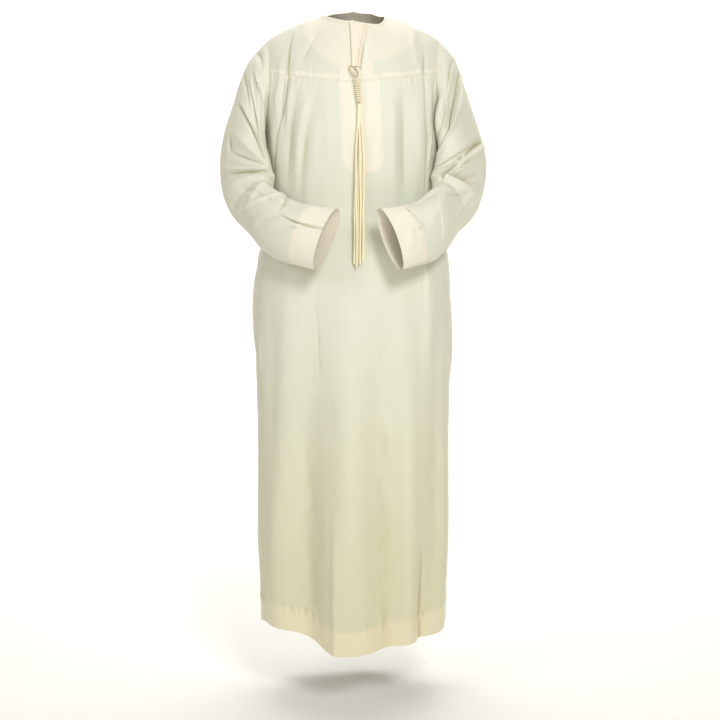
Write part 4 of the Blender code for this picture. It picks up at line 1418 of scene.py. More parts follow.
@dataclass
class Sewn:
    """What every sewn sub-assembly is cut from, and how thick its layers are."""

    form: Form
    finishes: Finishes
    stitch: Topstitch
    cloth: float = 0.0007
    facing: float = 0.0005
    lining_depth: float = 0.0017
    # How far a piece runs on under its neighbour
    tab: float = 0.0036
    # How softly the edge of a layer inside shows
    tape_blur: float = 0.004

    def outer(self, layer: Cloth, name: str, node: str) -> Object:
        """A piece of the outer cloth, in place of its solid."""
        return settle(layer.shell(name, self.finishes.cloth, self.cloth), node)

    def lining(self, layer: Cloth, name: str, node: str) -> Object:
        """A piece just inside the outer cloth, in place of its solid."""
        piece = layer.shell(name, self.finishes.facing, self.facing, self.lining_depth)
        return settle(piece, node)

    def sew(self, name: str, layer: Cloth, row: int = 0) -> Object:
        """A row of stitches on the outer face, along a row of a grid."""
        return self.stitch.row(name, *layer.line(row, self.cloth / 2))


@dataclass
class Panels(Sewn):
    """The front and back panels, with the hem, the bib behind the front and the pocket facings."""

    hem_band: float = 0.057
    band_rows: int = 13
    front_columns: int = 190
    back_columns: int = 150
    skirt_rows: int = 106
    chest_rows: int = 90
    chest_from: float = -0.62
    seam_rows: int = 30
    tab_depth: float = 0.0012
    tab_rows: int = 4
    # The share of a level over which the tabs begin, and how close their edges' points lie
    tab_fade: float = 0.01
    edge_inset: float = 0.02
    # The allowances inside the side seams and the yoke seam, and how much they double the cloth
    tape: float = 0.011
    seam_tape: float = 0.006
    tape_double: float = 0.55
    seam_double: float = 0.45
    # How deep the gathers at the stitches are, and how far they reach
    hem_gathers: Pair = (0.0012, 0.014)
    seam_gathers: Pair = (0.0006, 0.014)
    half_width: float = 0.25
    bib_left: float = -0.028
    bib_right: float = 0.066
    bib_top: float = -0.165
    bib_bottom: float = -0.345
    bib_corner: float = 0.026
    pocket_top: float = -0.525
    pocket_bottom: float = -0.705
    pocket_width: float = 0.028
    front_cut: Pair = (0.62, 1.36)
    back_cut: Pair = (0.60, 1.36)

    @property
    def band(self) -> float:
        """The level of the top of the turned hem."""
        return self.hem_band / (self.form.armpit - self.form.hem)

    @property
    def bib_middle(self) -> float:
        """The X of the bib's middle."""
        return (self.bib_left + self.bib_right) / 2

    @property
    def bib_half(self) -> float:
        """Half the bib's width."""
        return (self.bib_right - self.bib_left) / 2

    def stations(self, behind: bool) -> ArrayPair:
        """The shares across a panel, and how far past the panel's side edge each one lies.

        Args:
            behind: Whether it is the back.

        Returns:
            The shares, and the distances past the edge.
        """
        end = 1 - self.form.seam_share
        tabs = 0 if behind else self.tab_rows
        count = self.back_columns if behind else self.front_columns
        shares = np.pad(fine_steps(-end, end, count, self.edge_inset), tabs, mode="edge")
        past = np.arange(tabs, 0, -1) / max(tabs, 1) * self.tab
        return shares, np.concatenate([past, np.zeros(len(shares) - 2 * tabs), past[::-1]])

    def levels(self, shares: Array, behind: bool) -> ArrayPair:
        """The level of every place on a panel, and how far below the yoke seam it lies.

        Args:
            shares: The shares across.
            behind: Whether it is the back.

        Returns:
            The levels, and the distances below the seam.
        """
        form = self.form
        waist = (self.chest_from - form.hem) / (form.armpit - form.hem)
        lower = np.concatenate(
            [
                np.linspace(0, self.band, self.band_rows),
                np.linspace(self.band, waist, self.skirt_rows)[1:],
                np.linspace(waist, 1, self.chest_rows)[1:],
            ]
        )
        tops = 1 - np.abs(form.yoke_seam(shares, behind)) - form.seam_share
        upper = np.linspace(0, 1, self.seam_rows + 1)[1:, None] * tops
        tucked = np.arange(1, self.tab_rows + 1)[:, None] / self.tab_rows * self.tab
        under = tops + tucked / form.arch_length
        levels = np.concatenate([np.tile(lower[:, None], (1, len(shares))), 1 + upper, 1 + under])
        return levels, (1 + tops - levels) * form.arch_length

    def grid(self, behind: bool) -> Cloth:
        """Works out one panel.

        Args:
            behind: Whether it is the back.

        Returns:
            Its cloth.
        """
        form = self.form
        shares, past = self.stations(behind)
        levels, seam = self.levels(shares, behind)
        # Below the armpits the front runs on under the back's side edges.
        fade = self.tab_fade
        past = past * (fade + (1 - fade) * smooth((1 - levels) / fade))
        across = shares + np.sign(shares) * past / form.width_of_share
        points = form.at(across, levels, behind)
        edge = (1 - np.abs(shares)) * self.half_width - past
        girth = across * form.width_of_share
        layers = [
            smooth((self.band + 0.0012 - levels) / 0.0022),
            self.tape_double * smooth((self.tape - edge) / self.tape_blur),
            self.seam_double * smooth((self.seam_tape - seam) / self.tape_blur),
        ]
        if not behind:
            layers += [self.bib_share(points), self.pocket_share(points, edge)]
        flat = np.stack([girth, points[..., 2]], -1)
        cloth = Cloth.over(points, flat, np.maximum.reduce(layers), -FRONT if behind else FRONT)
        hem_line = (levels - self.band) * (form.armpit - form.hem)
        push = puckers(hem_line, girth * 1.1, *self.hem_gathers)
        push += puckers(seam, girth, *self.seam_gathers)
        push -= swells((0.0003, seam, 0.004), (0.0006, edge, 0.003), (0.0005, hem_line, 0.003))
        sunk = np.maximum(smooth((0.0002 - seam) / 0.0009), smooth((past - 0.0002) / 0.0009))
        return cloth.pushed(push - self.tab_depth * sunk)

    def bib_share(self, points: Array) -> Array:
        """How far the cloth is doubled by the bib at each place on the front.

        Args:
            points: Places on the panel.

        Returns:
            From 0 to 1 at each.
        """
        lean = np.clip((-0.16 - points[..., 2]) / 0.18, 0, 1) * 0.008
        middle = self.bib_middle + lean - 0.004
        half = self.bib_half - 0.003
        corner = 0.028
        dx = np.maximum(np.abs(points[..., 0] - middle) - (half - corner), 0)
        dz = np.maximum(self.bib_bottom + corner - points[..., 2], 0)
        inside = corner - np.hypot(dx, dz)
        # The edge towards the wearer's right shows more softly than the other.
        blur = np.where(points[..., 0] < middle, 0.012, 0.006)
        return smooth(inside / blur + 0.5) * (points[..., 1] < 0)

    def pocket_share(self, points: Array, edge: Array) -> Array:
        """How far the cloth is doubled by the pocket facings at each place on the front.

        Args:
            points: Places on the panel.
            edge: How far each is from the side seam.

        Returns:
            From 0 to 1 at each.
        """
        high = smooth((self.pocket_top - points[..., 2]) / self.tape_blur)
        low = smooth((points[..., 2] - self.pocket_bottom) / self.tape_blur)
        return smooth((self.pocket_width - edge) / self.tape_blur) * high * low

    def build(self) -> None:
        """Makes both panels and what is sewn to them."""
        front, back = self.grid(False), self.grid(True)
        front_piece = self.outer(front, "front_panel_cloth", "front_panel")
        back_piece = self.outer(back, "back_panel_cloth", "back_panel")
        hem = self.hem(front, back)
        bib = self.bib(front)
        pockets = self.pockets(front)
        row = self.band_rows - 1
        on_front = [self.sew("hem_stitches_front", front, row)]
        on_back = [self.sew("hem_stitches_back", back, row)]
        on_front += [self.bib_stitches(front), *self.pocket_stitches(front)]
        log.info("front panel, back panel, hem, bib and pocket facings")

    def hem(self, front: Cloth, back: Cloth) -> Object:
        """The turned hem, all the way round inside both panels.

        Args:
            front: The front panel.
            back: The back panel.

        Returns:
            The piece.
        """
        count, girth = self.band_rows, 1.2
        own = slice(self.tab_rows, -self.tab_rows)
        parts = [
            np.hstack([getattr(front, part)[:count, own], getattr(back, part)[:count, ::-1]])
            for part in ("points", "normals", "flat", "doubled")
        ]
        parts[2][:, -back.points.shape[1] :, 0] += girth
        return self.lining(Cloth(*parts, girth=girth), "hem_turning", "hem_facing")

    def bib(self, front: Cloth) -> Object:
        """The U-ended second layer behind the front, from the yoke seam down.

        Args:
            front: The front panel.

        Returns:
            The piece.
        """
        half = self.bib_half
        centre = front.points.shape[1] // 2
        heights = front.points[:, centre, 2]
        top = float(len(heights) - self.tab_rows) - 1.5
        bottom = float(front.rows_at(centre, self.bib_bottom))
        close = bottom + np.array([0.0, 0.15, 0.4, 0.8])
        rows = np.concatenate([close, np.arange(bottom + 1.4, top), [top]])
        level = np.interp(rows, np.arange(len(heights)), heights)
        curve = np.clip((self.bib_bottom + half - level) / half, 0, 0.985)
        spread = half * np.sqrt(1 - curve**2)
        x = self.bib_middle + spread[:, None] * np.linspace(-1, 1, 25)
        row_grid = np.tile(rows[:, None], (1, x.shape[1]))
        patch = front.sampled(row_grid, front.stations_at(rows, x))
        return self.lining(patch, "bib_lining", "bib_facing")

    def bib_stitches(self, front: Cloth) -> Object:
        """The row of stitches down one side of the bib, round its end and up the other side.

        Args:
            front: The front panel.

        Returns:
            The row.
        """
        inset, straight_to = 0.004, -0.30
        half = self.bib_half - inset
        turn = np.linspace(-np.pi / 2, np.pi / 2, 60)
        x = np.sign(np.sin(turn)) * (half - self.bib_corner) + self.bib_corner * np.sin(turn)
        z = self.bib_bottom + inset + self.bib_corner * (1 - np.cos(turn))
        x = np.concatenate([[-half, -half], x, [half, half]]) + self.bib_middle
        z = np.concatenate([[self.bib_top, straight_to], z, [straight_to, self.bib_top]])
        steps = np.linspace(0, len(x) - 1, 240)
        x, z = (np.interp(steps, np.arange(len(v)), v) for v in (x, z))
        rows = front.rows_at(front.points.shape[1] // 2, z)
        patch = front.sampled(rows[None], front.stations_at(rows, x)[None])
        return self.sew("bib_stitches", patch)

    def pockets(self, front: Cloth) -> list[Object]:
        """The second layer at the front edge of each side seam, where a hand goes in.

        Args:
            front: The front panel.

        Returns:
            The wearer's right one and left one.
        """
        low, high = front.rows_at(self.tab_rows, [self.pocket_bottom, self.pocket_top])
        lengths = travelled(front.points[int(low), self.tab_rows :])
        inward = np.linspace(0.001, self.pocket_width, 9)
        inward = self.tab_rows + np.interp(inward, lengths, np.arange(len(lengths)))
        last = front.points.shape[1] - 1
        made = []
        for side, stations in ((Side.RIGHT, inward), (Side.LEFT, last - inward[::-1])):
            places = np.meshgrid(np.linspace(low, high, 42), stations, indexing="ij")
            name, node = f"pocket_lining_{side.word}", f"pocket_facing_{side.word}"
            made.append(self.lining(front.sampled(*places), name, node))
        return made

    def pocket_stitches(self, front: Cloth) -> list[Object]:
        """The row of stitches along each pocket.

        Args:
            front: The front panel.

        Returns:
            The wearer's right row and left row.
        """
        levels = np.linspace(self.pocket_bottom, self.pocket_top, 60)
        rows = front.rows_at(self.tab_rows, levels)[None]
        last = front.points.shape[1] - 1
        inset = self.tab_rows + 3.2
        return [
            self.sew(f"pocket_stitches_{side.word}", front.sampled(rows, np.full(rows.shape, at)))
            for side, at in ((Side.RIGHT, inset), (Side.LEFT, last - inset))
        ]


@dataclass
class Yoke(Sewn):
    """The one-piece yoke over both shoulders, with the neck facing, binding, placket and seams."""

    slit_x: float = 0.003
    slit_gap: float = 0.0009
    seam_columns: int = 58
    arm_columns: int = 58
    back_columns: int = 84
    corner_degrees: tuple[float, ...] = (52.0, 128.0, 232.0, 308.0)
    facing_rows: int = 30
    outer_rows: int = 44
    # The allowances inside the yoke seams and the armholes
    tape: float = 0.0095
    arm_tape: float = 0.011
    # How wide a share of 1 is on the flat
    flat_width: float = 0.25
    binding_width: float = 0.0055
    binding_thick: float = 0.0026
    binding_length: float = 0.44
    binding_sides: int = 14
    # The placket's edges, as X
    placket_top: Pair = (-0.0056, 0.0300)
    placket_foot: Pair = (-0.0010, 0.0142)
    placket_bottom: float = -0.119
    placket_thick: float = 0.0014
    # How deep the gathers at the yoke's seams are, how far they reach, and how far off they lie
    front_gathers: Pair = (0.0007, 0.012)
    back_gathers: Pair = (0.0008, 0.012)
    gathers_off: float = 0.007
    # How far the slit's edge sinks beside the placket's foot, and how wide that trough is
    gape_depth: float = 0.0038
    gape_width: float = 0.0018

    def outline(self) -> tuple[Array, Array, Array]:
        """Goes round the yoke's outer edge, from one side of the slit to the other.

        Returns:
            The share and pass_over of each place, and the neckline's angle that it is joined to.
        """
        form = self.form
        side = 1 - form.seam_share
        probe = 0.01
        near, _ = form.arch_place(np.array([probe]), z=np.array([form.seam_at_centre]))
        per_share = probe / float(near[0])
        beside = self.slit_x + self.slit_gap / 2, self.slit_x - self.slit_gap / 2
        left = np.linspace(beside[0] / per_share, side, self.seam_columns)
        right = np.linspace(-side, beside[1] / per_share, self.seam_columns)
        behind = np.linspace(side, -side, self.back_columns)
        up = np.linspace(*form.arm_ends(), self.arm_columns)
        arm = np.full(self.arm_columns - 2, side)
        passes = [
            form.yoke_seam(left, False) + form.seam_share,
            up[1:-1],
            form.yoke_seam(behind, True) - form.seam_share,
            up[-2:0:-1],
            form.yoke_seam(right, False) + form.seam_share,
        ]
        share = np.concatenate([left, arm, behind, -arm, right])
        first, last = (math.asin(x / form.neck_half_width) for x in beside)
        runs = (left, up, behind, up, right)
        corners = np.cumsum([0, *(len(run) - 1 for run in runs)])
        angles = [first, *np.radians(self.corner_degrees), FULL_TURN + last]
        return share, np.concatenate(passes), np.interp(np.arange(len(share)), corners, angles)

    def grid(self) -> Cloth:
        """Works out the yoke, from the neckline out and round from one side of the slit.

        Returns:
            Its cloth.
        """
        form = self.form
        outer_share, outer_over, around = self.outline()
        inner_share, inner_over = form.neckline(around)
        split = follow(FACING_SHARES, np.degrees(wrapped(around)))
        inner_rows = np.linspace(0, 1, self.facing_rows)[:, None] * split
        outer_rows = split + np.linspace(0, 1, self.outer_rows)[1:, None] * (1 - split)
        rows = np.concatenate([inner_rows, outer_rows])
        share = inner_share * (1 - rows) + outer_share * rows
        pass_over = inner_over * (1 - rows) + outer_over * rows
        points = form.over_shoulders(share, pass_over)
        flat = np.stack([share * self.flat_width, pass_over * form.arch_length], -1)
        seam_front = (pass_over - form.yoke_seam(share, False)) * form.arch_length
        seam_back = (form.yoke_seam(share, True) - pass_over) * form.arch_length
        edge = (1 - np.abs(share)) * form.arch_width
        uneven_tape = self.tape * (1 + 0.10 * np.sin(share * 21) + 0.06 * np.sin(share * 47 + 1))
        layers = [
            0.88 * smooth((split - rows) * 14 + 0.5),
            0.95 * smooth((uneven_tape - seam_front) / 0.002),
            0.95 * smooth((self.tape - seam_back) / 0.002),
            0.55 * smooth((self.arm_tape - edge) / self.tape_blur),
            smooth((0.038 - np.abs(points[..., 0] - 0.008)) / 0.004) * (pass_over < -0.2),
        ]
        cloth = Cloth.over(points, flat, np.maximum.reduce(layers), np.array([0.0, 0.0, 1.0]))
        along = share * form.arch_width
        push = puckers(seam_front - self.gathers_off, along, *self.front_gathers)
        push += puckers(seam_back - self.gathers_off, along + 0.4, *self.back_gathers)
        push -= swells(*((0.0003, distance, 0.0035) for distance in (seam_front, seam_back, edge)))
        return cloth.pushed(push - self.gape(points) * (pass_over < 0))

    def gape(self, points: Array) -> Array:
        """How far the slit's edge sinks beside the placket's foot, where the tassel pulls.

        Args:
            points: Places on the yoke.

        Returns:
            The depth at each.
        """
        x, z = points[..., 0], points[..., 2]
        lean = self.placket_foot[1] - self.placket_top[1]
        beside = x - self.placket_top[1] - lean * np.clip(z / self.placket_bottom, 0, 1) - 0.0020
        low = smooth((-0.050 - z) / 0.045) * smooth((z - self.placket_bottom + 0.006) / 0.004)
        return self.gape_depth * low * bell(beside, self.gape_width)

    def build(self) -> None:
        """Makes the yoke and what is sewn to it."""
        cloth = self.grid()
        yoke = self.outer(cloth, "yoke_cloth", "yoke")
        facing = self.lining(cloth.rows(None, self.facing_rows), "neck_lining", "neck_facing")
        binding = self.binding(cloth)
        placket, placket_rows = self.placket()
        # The rows go round the neck, round the neck facing and beside the yoke's seams.
        rows = [
            self.sew("neck_stitches", cloth, 1),
            self.sew("neck_facing_stitches", cloth, self.facing_rows - 2),
            self.sew("yoke_edge_stitches", cloth, len(cloth.points) - 3),
        ]
        log.info("yoke, neck facing, binding, placket and their stitches")

    def binding(self, cloth: Cloth) -> Object:
        """The rolled binding round the neck's edge, a little uneven where it goes round.

        Args:
            cloth: The yoke.

        Returns:
            The piece.
        """
        edge = cloth.points[0]
        along = unit(np.gradient(edge, axis=0))
        inward = unit(edge - cloth.points[3])
        inward = unit(inward - along * np.sum(inward * along, axis=1, keepdims=True))
        over = unit(np.cross(along, inward))
        over = over * np.sign(np.sum(over * cloth.normals[0], axis=1, keepdims=True))
        passed = np.linspace(0, self.binding_length, len(edge))
        swell = 1 + 0.05 * np.sin(passed * FULL_TURN / 0.019) + 0.04 * np.sin(passed * 870)
        half_width = (self.binding_width / 2 * swell)[:, None]
        half_thick = (self.binding_thick / 2 * swell)[:, None]
        centres = edge + inward * (self.binding_width / 2 + 0.0002)
        rolled = tube(centres, inward * half_width, over * half_thick, self.binding_sides)
        piece = make_object("neck_binding_cloth", *rolled, self.finishes.facing, 70)
        return settle(piece, "neck_binding")

    def placket(self) -> tuple[Object, list[Object]]:
        """The strip over the slit, wider at the neck, with its free edge a little lifted.

        Returns:
            The strip, and its rows of stitches.
        """
        form = self.form
        share = np.linspace(0, 1, 56)[:, None]
        across = np.concatenate([[0, 0.03], np.linspace(0.06, 0.94, 22), [0.97, 1.0]])
        left, right = (
            top + (foot - top) * share for top, foot in zip(self.placket_top, self.placket_foot)
        )
        x = left + (right - left) * across
        neck = form.neckline(np.arcsin(x / form.neck_half_width))
        foot = form.arch_place(x, z=np.full(x.shape, self.placket_bottom))
        part = 0.03 + 0.97 * share
        place = [above * (1 - part) + below * part for above, below in zip(neck, foot)]
        points = form.over_shoulders(*place)
        flat = np.stack([x, points[..., 2]], -1)
        cloth = Cloth.over(points, flat, np.ones(x.shape), np.array([0.0, -1.0, 0.2]))
        cloth = cloth.pushed(self.placket_lift((x - left) * 1000, (right - x) * 1000))
        piece = cloth.shell("placket_strip", self.finishes.facing, self.placket_thick)
        settle(piece, "placket")
        rows = []
        stations = np.arange(len(points) - 2, dtype=float)[None] + 0.5
        for station, word in ((0.07, "left"), (0.80, "right_inner"), (0.94, "right_outer")):
            at = np.full(stations.shape, station * (points.shape[1] - 1))
            line = cloth.sampled(stations, at).line(0, self.placket_thick / 2)
            rows.append(self.stitch.row(f"placket_stitches_{word}", *line))
        return piece, rows

    def placket_lift(self, from_left: Array, from_right: Array) -> Array:
        """How far the placket stands off the yoke, by the millimetres from each of its edges.

        Args:
            from_left: Millimetres from the left edge.
            from_right: Millimetres from the right edge.

        Returns:
            The height at each place.
        """
        lift = 0.0034 * np.exp(-from_left / 3.5) + 0.0008 * np.exp(-from_right / 3.0)
        lift += swells(
            (0.0016, from_right - 7.8, 1.8),
            (0.0018, from_right - 2.8, 1.5),
            (-0.0012, from_right - 5.2, 1.0),
            (-0.00035, from_left - 2.0, 0.9),
        )
        return 0.0016 + self.placket_thick / 2 + lift


@dataclass
class Sleeve(Sewn):
    """One set-in sleeve, bent at the elbow, with its turned cuff."""

    side: Side = Side.RIGHT
    girth_per_radian: float = 0.063
    length: float = 0.56
    # The share of the length over which the sleeve leaves the armhole's shape
    head: float = 0.22
    forearm: float = 0.55
    main_calm: float = 0.12
    fine_calm: float = 0.05
    drift_calm: float = 0.06
    cuff_band: float = 0.062
    band_rows: int = 14
    sleeve_rows: int = 196
    sleeve_columns: int = 200
    # Where the first points lie along the sleeve, close together beside its seam
    near_seam: tuple[float, ...] = (0.0, 0.0002, 0.0004, 0.004, 0.010)
    even_from: float = 0.016
    # How wide the allowances inside the armhole and the under seam are, and how much they show
    armhole_tape: float = 0.010
    under_tape: float = 0.008
    tape_double: float = 0.5
    cuff_gathers: Pair = (0.0011, 0.013)
    left_cuff_shift: float = 0.024
    fold_start: float = 0.45
    fold_end: float = 0.70
    seam_lift: float = 0.0020
    tab_depth: float = 0.0026
    cut: Pair = (0.44, 0.60)

    def pass_at(self, angle: Array) -> Array:
        """The pass_over of the armhole's edge, by the angle from the shoulder's tip."""
        return np.where(angle <= np.pi, -angle / np.pi, 2 - angle / np.pi)

    def plain(self, angle: Array, along: Array) -> Array:
        """Points of the sleeve with no creases, by the angle round it and the share along it.

        Args:
            angle: The angle round the sleeve from its outer line.
            along: The share of its length.

        Returns:
            The points.
        """
        way = self.side.value
        lengths = travelled(SLEEVE_SECTIONS[:, :3])
        row = through(lengths / lengths[-1], SLEEVE_SECTIONS, along)
        c, s = np.cos(angle)[..., None], np.sin(angle)[..., None]
        points, first = (
            part[..., :3] + c * part[..., 3:6] + s * part[..., 6:]
            for part in (row, SLEEVE_SECTIONS[0])
        )
        if self.side is Side.LEFT:
            late = smooth((along - self.forearm) / (1 - self.forearm))
            points[..., 0] += self.left_cuff_shift * late
        mirror = np.array([way, 1, 1])
        around = self.pass_at(angle % FULL_TURN)
        armhole = self.form.over_shoulders(np.full(np.shape(angle), way), around)
        fade = smooth(1 - along / self.head)[..., None]
        return points * mirror + (armhole - first * mirror) * fade

    def grid(self) -> Cloth:
        """Works out the sleeve, with its first rows folded down outside the armhole.

        Returns:
            Its cloth.
        """
        band = 1 - self.cuff_band / self.length
        along = np.concatenate(
            [
                self.near_seam,
                np.linspace(self.even_from, band, self.sleeve_rows),
                np.linspace(band, 1, self.band_rows)[1:],
            ]
        )
        angles = np.arange(self.sleeve_columns) * FULL_TURN / self.sleeve_columns
        angle, along = np.meshgrid(angles, along)
        points = self.plain(angle, along)
        across = self.girth_per_radian * angle
        down = self.length * along
        girth = FULL_TURN * self.girth_per_radian
        cuff_line = (along - band) * self.length
        under_seam = np.abs(angle % FULL_TURN - np.pi) * self.girth_per_radian
        layers = [
            smooth(cuff_line / 0.003 + 0.6),
            self.tape_double * smooth((self.armhole_tape - down) / self.tape_blur),
            self.tape_double * smooth((self.under_tape - under_seam) / self.tape_blur),
        ]
        flat = np.stack([across, -down], -1)
        outward = points - points.mean(axis=1, keepdims=True)
        cloth = Cloth.over(points, flat, np.maximum.reduce(layers), outward, girth)
        main = relief(across, down, MAIN_SLEEVE_CREASES[self.side], girth, run_on=True)
        fine = relief(across, down, FINE_SLEEVE_CREASES[self.side], girth)
        uneven = drift(points, 5, (0.06, 0.06, 0.08), 0.0007)
        push = puckers(cuff_line, across, *self.cuff_gathers)
        push -= swells((0.0005, cuff_line, 0.003))
        parts = ((main, self.main_calm), (fine, self.fine_calm), (uneven, self.drift_calm))
        for part, calm in parts:
            push += part * np.clip(along / calm, 0, 1)
        return self.set_in(cloth.pushed(push), self.pass_at(angles))

    def set_in(self, cloth: Cloth, pass_over: Array) -> Cloth:
        """Sets the sleeve in: two rows tucked under the armhole, and one along its seam.

        Args:
            cloth: The sleeve.
            pass_over: Where each of its columns meets the armhole.

        Returns:
            The same sleeve, set in.
        """
        gap = self.form.seam_share
        fold = np.abs(pass_over) - self.fold_start
        fold = np.clip(fold / (self.fold_end - self.fold_start), 0, 1)[:, None]
        shares = (1 - self.tab / self.form.arch_width, 1 + gap * 0.6, 1 + gap)
        heights = (-self.tab_depth, -self.tab_depth, fold * self.seam_lift)
        for row, (share, height) in enumerate(zip(shares, heights)):
            station = np.full(len(pass_over), self.side.value * share)
            edge, normals = self.form.on_arch(station, pass_over)
            cloth.points[row] = edge + normals * height
            cloth.normals[row] = normals
        cloth.normals[2] = unit(cloth.normals[2] * (1 - fold) + cloth.normals[3] * fold)
        return cloth

    def build(self) -> None:
        """Makes the sleeve, its cuff's turning and its stitches."""
        cloth = self.grid()
        word = self.side.word
        sleeve = self.outer(cloth, f"sleeve_cloth_{word}", f"sleeve_{word}")
        band = cloth.rows(-self.band_rows, None)
        cuff = self.lining(band, f"cuff_turning_{word}", f"cuff_facing_{word}")
        for row, name in ((-self.band_rows, "cuff_stitches"), (7, "armhole_stitches")):
            line = (np.vstack([part, part[:1]]) for part in cloth.line(row, self.cloth / 2))
            self.stitch.row(f"{name}_{word}", *line)
        log.info("%s sleeve, cuff and stitches", word)


@dataclass
class Tassel:
    """The long tassel: a cord loop at the placket's foot, a wrapped head and six hanging cords."""

    finishes: Finishes
    loop_top: Point = (-0.0040, -0.1216, -0.1165)
    loop_half_width: float = 0.0088
    loop_twists: int = 12
    cord_radius: float = 0.0014
    head_top: Point = (0.0070, -0.1318, -0.1415)
    head_bottom: Point = (0.0142, -0.1422, -0.1990)
    head_radius: float = 0.0060
    head_turns: int = 13
    core_share: float = 0.62
    end: float = -0.545
    cord_count: tuple[int, int] = (3, 2)
    plies: int = 3
    ply_radius: float = 0.00140
    ply_circle: float = 0.00128
    ply_pitch: float = 0.021
    # How far apart the cords are at their roots, and how far they have spread lower down
    root_step: Pair = (0.0019, 0.0026)
    root_height: float = 0.0030
    spread_step: Pair = (0.0078, 0.0052)
    spread_skew: float = 0.0032
    end_step: float = 0.006
    sharp_degrees: float = 80.0

    def loop(self) -> None:
        """The loop, of two plies that wind round each other."""
        count = 84
        turn = np.arange(count) * FULL_TURN / count
        top = np.array(self.loop_top)
        low = np.array(self.head_top) + np.array([0.0, 0.0, self.cord_radius + 0.0001])
        narrow = 0.82 + 0.18 * np.cos(turn / 2 - 0.5) ** 2
        centres = (top + low) / 2 + np.cos(turn)[:, None] * (top - low) / 2
        centres[:, 0] += np.sin(turn) * narrow * self.loop_half_width
        ways = ways_round(unit(np.roll(centres, -1, axis=0) - np.roll(centres, 1, axis=0)))
        size = self.cord_radius * 0.62
        parts = []
        for ply in range(2):
            wind = (turn * self.loop_twists + ply * np.pi)[:, None]
            middle = centres + wound(wind, *ways) * self.cord_radius * 0.42
            parts.append(tube(middle, *(way * size for way in ways), 8, closed=True))
        self.piece("tassel_loop_cord", merge(parts), self.finishes.loop, "tassel_loop")

    def head_line(self, share: Array) -> tuple[Array, Array, Array, Array]:
        """Points down the head's middle, and its ways along, across and over.

        Args:
            share: How far down the head each point is.

        Returns:
            The points, then the three ways.
        """
        top, bottom = np.array(self.head_top), np.array(self.head_bottom)
        along = unit(bottom - top)
        return top + (bottom - top) * share, along, *ways_round(along)

    def head(self) -> None:
        """The head's cord, wound turn beside turn round a core that is coloured dark as painted
        shade between the turns.
        """
        steps = self.head_turns * 22
        share = np.linspace(0, 1, steps)[:, None]
        centres, along, across, over = self.head_line(0.03 + 0.94 * share)
        long = math.dist(self.head_top, self.head_bottom)
        wrap = 0.5 * long / self.head_turns
        swell = 0.86 + 0.14 * np.sin(np.pi * np.minimum(1.0, share * 1.15 + 0.1))
        outward = wound(share * self.head_turns * FULL_TURN, across, over)
        centres = centres + (self.head_radius - wrap * 0.62) * swell * outward
        half = wrap * 0.72
        coils = tube(centres, outward * half, np.tile(along * half, (steps, 1)), 8)
        centres, _, across, over = self.head_line(0.01 + 0.98 * np.linspace(0, 1, 5)[:, None])
        size = self.head_radius * self.core_share
        core = tube(centres, *(np.tile(way * size, (5, 1)) for way in (across, over)), 16)
        self.piece("tassel_core", core, self.finishes.core)
        self.piece("tassel_head", coils, self.finishes.cord)

    def cords(self) -> None:
        """The six cords, each of three plies, which spread a little as they hang."""
        bottom = np.array(self.head_bottom)
        level = np.array([1.0, 1.0, 0.0])
        share = np.linspace(0, 1, 96)
        ease = smooth(share * 2.6)
        parts = []
        for i, j in np.ndindex(self.cord_count):
            beside, behind = i - 1, j - 0.5
            root = [beside * self.root_step[0], -behind * self.root_step[1], self.root_height]
            root = bottom + np.array(root)
            aside = beside * self.spread_step[0] + behind * self.spread_skew
            spread = np.array([aside, -behind * self.spread_step[1], 0.0])
            sway = 0.0012 * np.sin(5 * share + 1.7 * i + 2.9 * j)
            sway += 0.0005 * np.sin(17 * share + 2.3 * i + 1.1 * j)
            drop = self.end + self.end_step * (i - j) - root[2]
            line = root + (bottom + spread - root) * ease[:, None] * level
            line[:, 0] += sway * ease
            line[:, 2] = root[2] + drop * share
            ways = ways_round(unit(np.gradient(line, axis=0)))
            size = self.ply_radius * (0.80 + 0.20 * ease)[:, None]
            circle = self.ply_circle * (0.7 + 0.3 * ease)[:, None]
            for ply in range(self.plies):
                wind = (share * -drop / self.ply_pitch + ply / self.plies) * FULL_TURN
                middle = line + wound(wind[:, None], *ways) * circle
                parts.append(tube(middle, *(way * size for way in ways), 6))
        self.piece("tassel_cords", merge(parts), self.finishes.cord, "tassel")

    def piece(self, name: str, shape: Shape, material: Material, node: str = "") -> None:
        """Makes a piece of the tassel and puts it on the frame.

        Args:
            name: The piece's name.
            shape: Its corners and faces.
            material: Its material.
            node: The solid that it stands for, if any.
        """
        settle(make_object(name, *shape, material, self.sharp_degrees), node)

    def build(self) -> None:
        """Makes the loop, the head and the hanging cords."""
        self.loop()
        self.head()
        self.cords()
        log.info("tassel loop, head and cords")


@dataclass(frozen=True)
class SoftLight:
    """A square soft light: where it hangs, its side, its power in watts and what it faces."""

    name: str
    place: Point
    size: float
    power: float
    colour: str
    target: Point

    def hang(self) -> None:
        """Hangs it."""
        lamp = bpy.data.lights.new(self.name, "AREA")
        lamp.size = self.size
        lamp.energy = self.power
        lamp.color = linear(self.colour)[:3]
        made = bpy.data.objects.new(self.name, lamp)
        made.location = self.place
        way = Vector(self.target) - Vector(self.place)
        made.rotation_euler = way.to_track_quat("-Z", "Y").to_euler()
        bpy.context.scene.collection.objects.link(made)


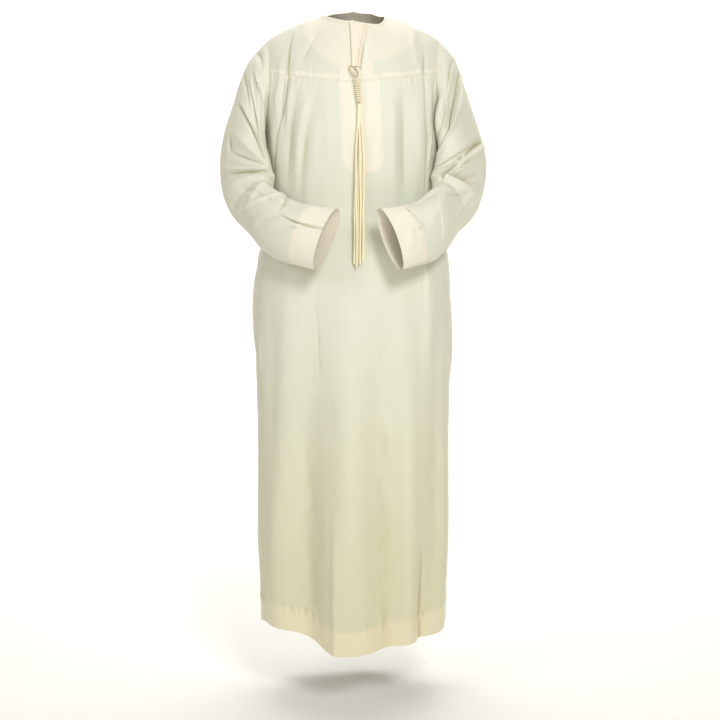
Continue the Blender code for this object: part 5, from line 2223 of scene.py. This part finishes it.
@dataclass
class Studio:
    """A pale seamless ground, soft light and the camera."""

    floor: float = -1.56
    half_width: float = 8.0
    front: float = -6.0
    curve_from: float = 2.4
    curve: float = 1.6
    top: float = 6.0
    lens: float = 72.18
    eye: Point = (0.0157, -3.305, -0.361)
    pitch_degrees: float = 7.13
    world: float = 0.33
    world_colour: str = "#fff5e2"
    lights: tuple[SoftLight, ...] = (
        SoftLight("key", (0.9, -3.0, 1.1), 0.9, 64.0, "#fbfcff", (0.0, 0.0, -0.50)),
        SoftLight("fill", (-1.4, -1.5, 0.35), 0.8, 9.5, "#fbfcff", (0.0, 0.0, -0.3)),
        SoftLight("front", (0.3, -3.4, -0.40), 1.0, 8.0, "#ffffff", (0.0, 0.0, -0.4)),
        SoftLight("top", (0.2, 0.6, 2.2), 1.8, 4.0, "#ffffff", (0.0, 0.0, -0.2)),
        SoftLight("low", (1.2, -2.2, -1.30), 0.9, 4.5, "#fff0cc", (0.05, 0.0, -1.2)),
        SoftLight("backdrop", (0.0, 1.3, 2.4), 3.0, 150.0, "#ffffff", (0.0, 4.0, 0.2)),
    )

    def build(self) -> None:
        """Makes the ground, the lights and the camera."""
        self.ground()
        for light in self.lights:
            light.hang()
        scene = bpy.context.scene
        scene.world = bpy.data.worlds.new("studio")
        scene.world.use_nodes = True
        background = scene.world.node_tree.nodes["Background"]
        background.inputs["Color"].default_value = linear(self.world_colour)
        background.inputs["Strength"].default_value = self.world
        camera = bpy.data.cameras.new("camera")
        camera.lens = self.lens
        camera.sensor_width = 36.0
        scene.camera = bpy.data.objects.new("camera", camera)
        scene.camera.location = self.eye
        scene.camera.rotation_euler = (math.radians(90 - self.pitch_degrees), 0.0, 0.0)
        scene.collection.objects.link(scene.camera)
        scene.view_settings.view_transform = "Standard"
        log.info("studio")

    def ground(self) -> None:
        """A wide sheet of paper that curves up behind."""
        turns = [math.radians(90 * step / 12) for step in range(13)]
        curve = [
            (self.curve_from + self.curve * math.sin(turn), self.curve * (1 - math.cos(turn)))
            for turn in turns
        ]
        profile = [(self.front, 0.0), *curve, (self.curve_from + self.curve, self.top)]
        sides = (-self.half_width, self.half_width)
        corners = [(x, y, self.floor + z) for y, z in profile for x in sides]
        faces = [(2 * i, 2 * i + 1, 2 * i + 3, 2 * i + 2) for i in range(len(profile) - 1)]
        make_object("studio_paper", np.array(corners), faces, MattPaper().material())


def main() -> None:
    """Builds the robe and the studio."""
    logging.basicConfig(level=logging.INFO, format="%(message)s")
    Studio().build()
    finishes = Finishes.mixed()
    sewn = (Form(), finishes, Topstitch(finishes.thread))
    Yoke(*sewn).build()
    Panels(*sewn).build()
    for side in Side:
        Sleeve(*sewn, side=side).build()
    Tassel(finishes).build()


if __name__ == "__main__":
    main()
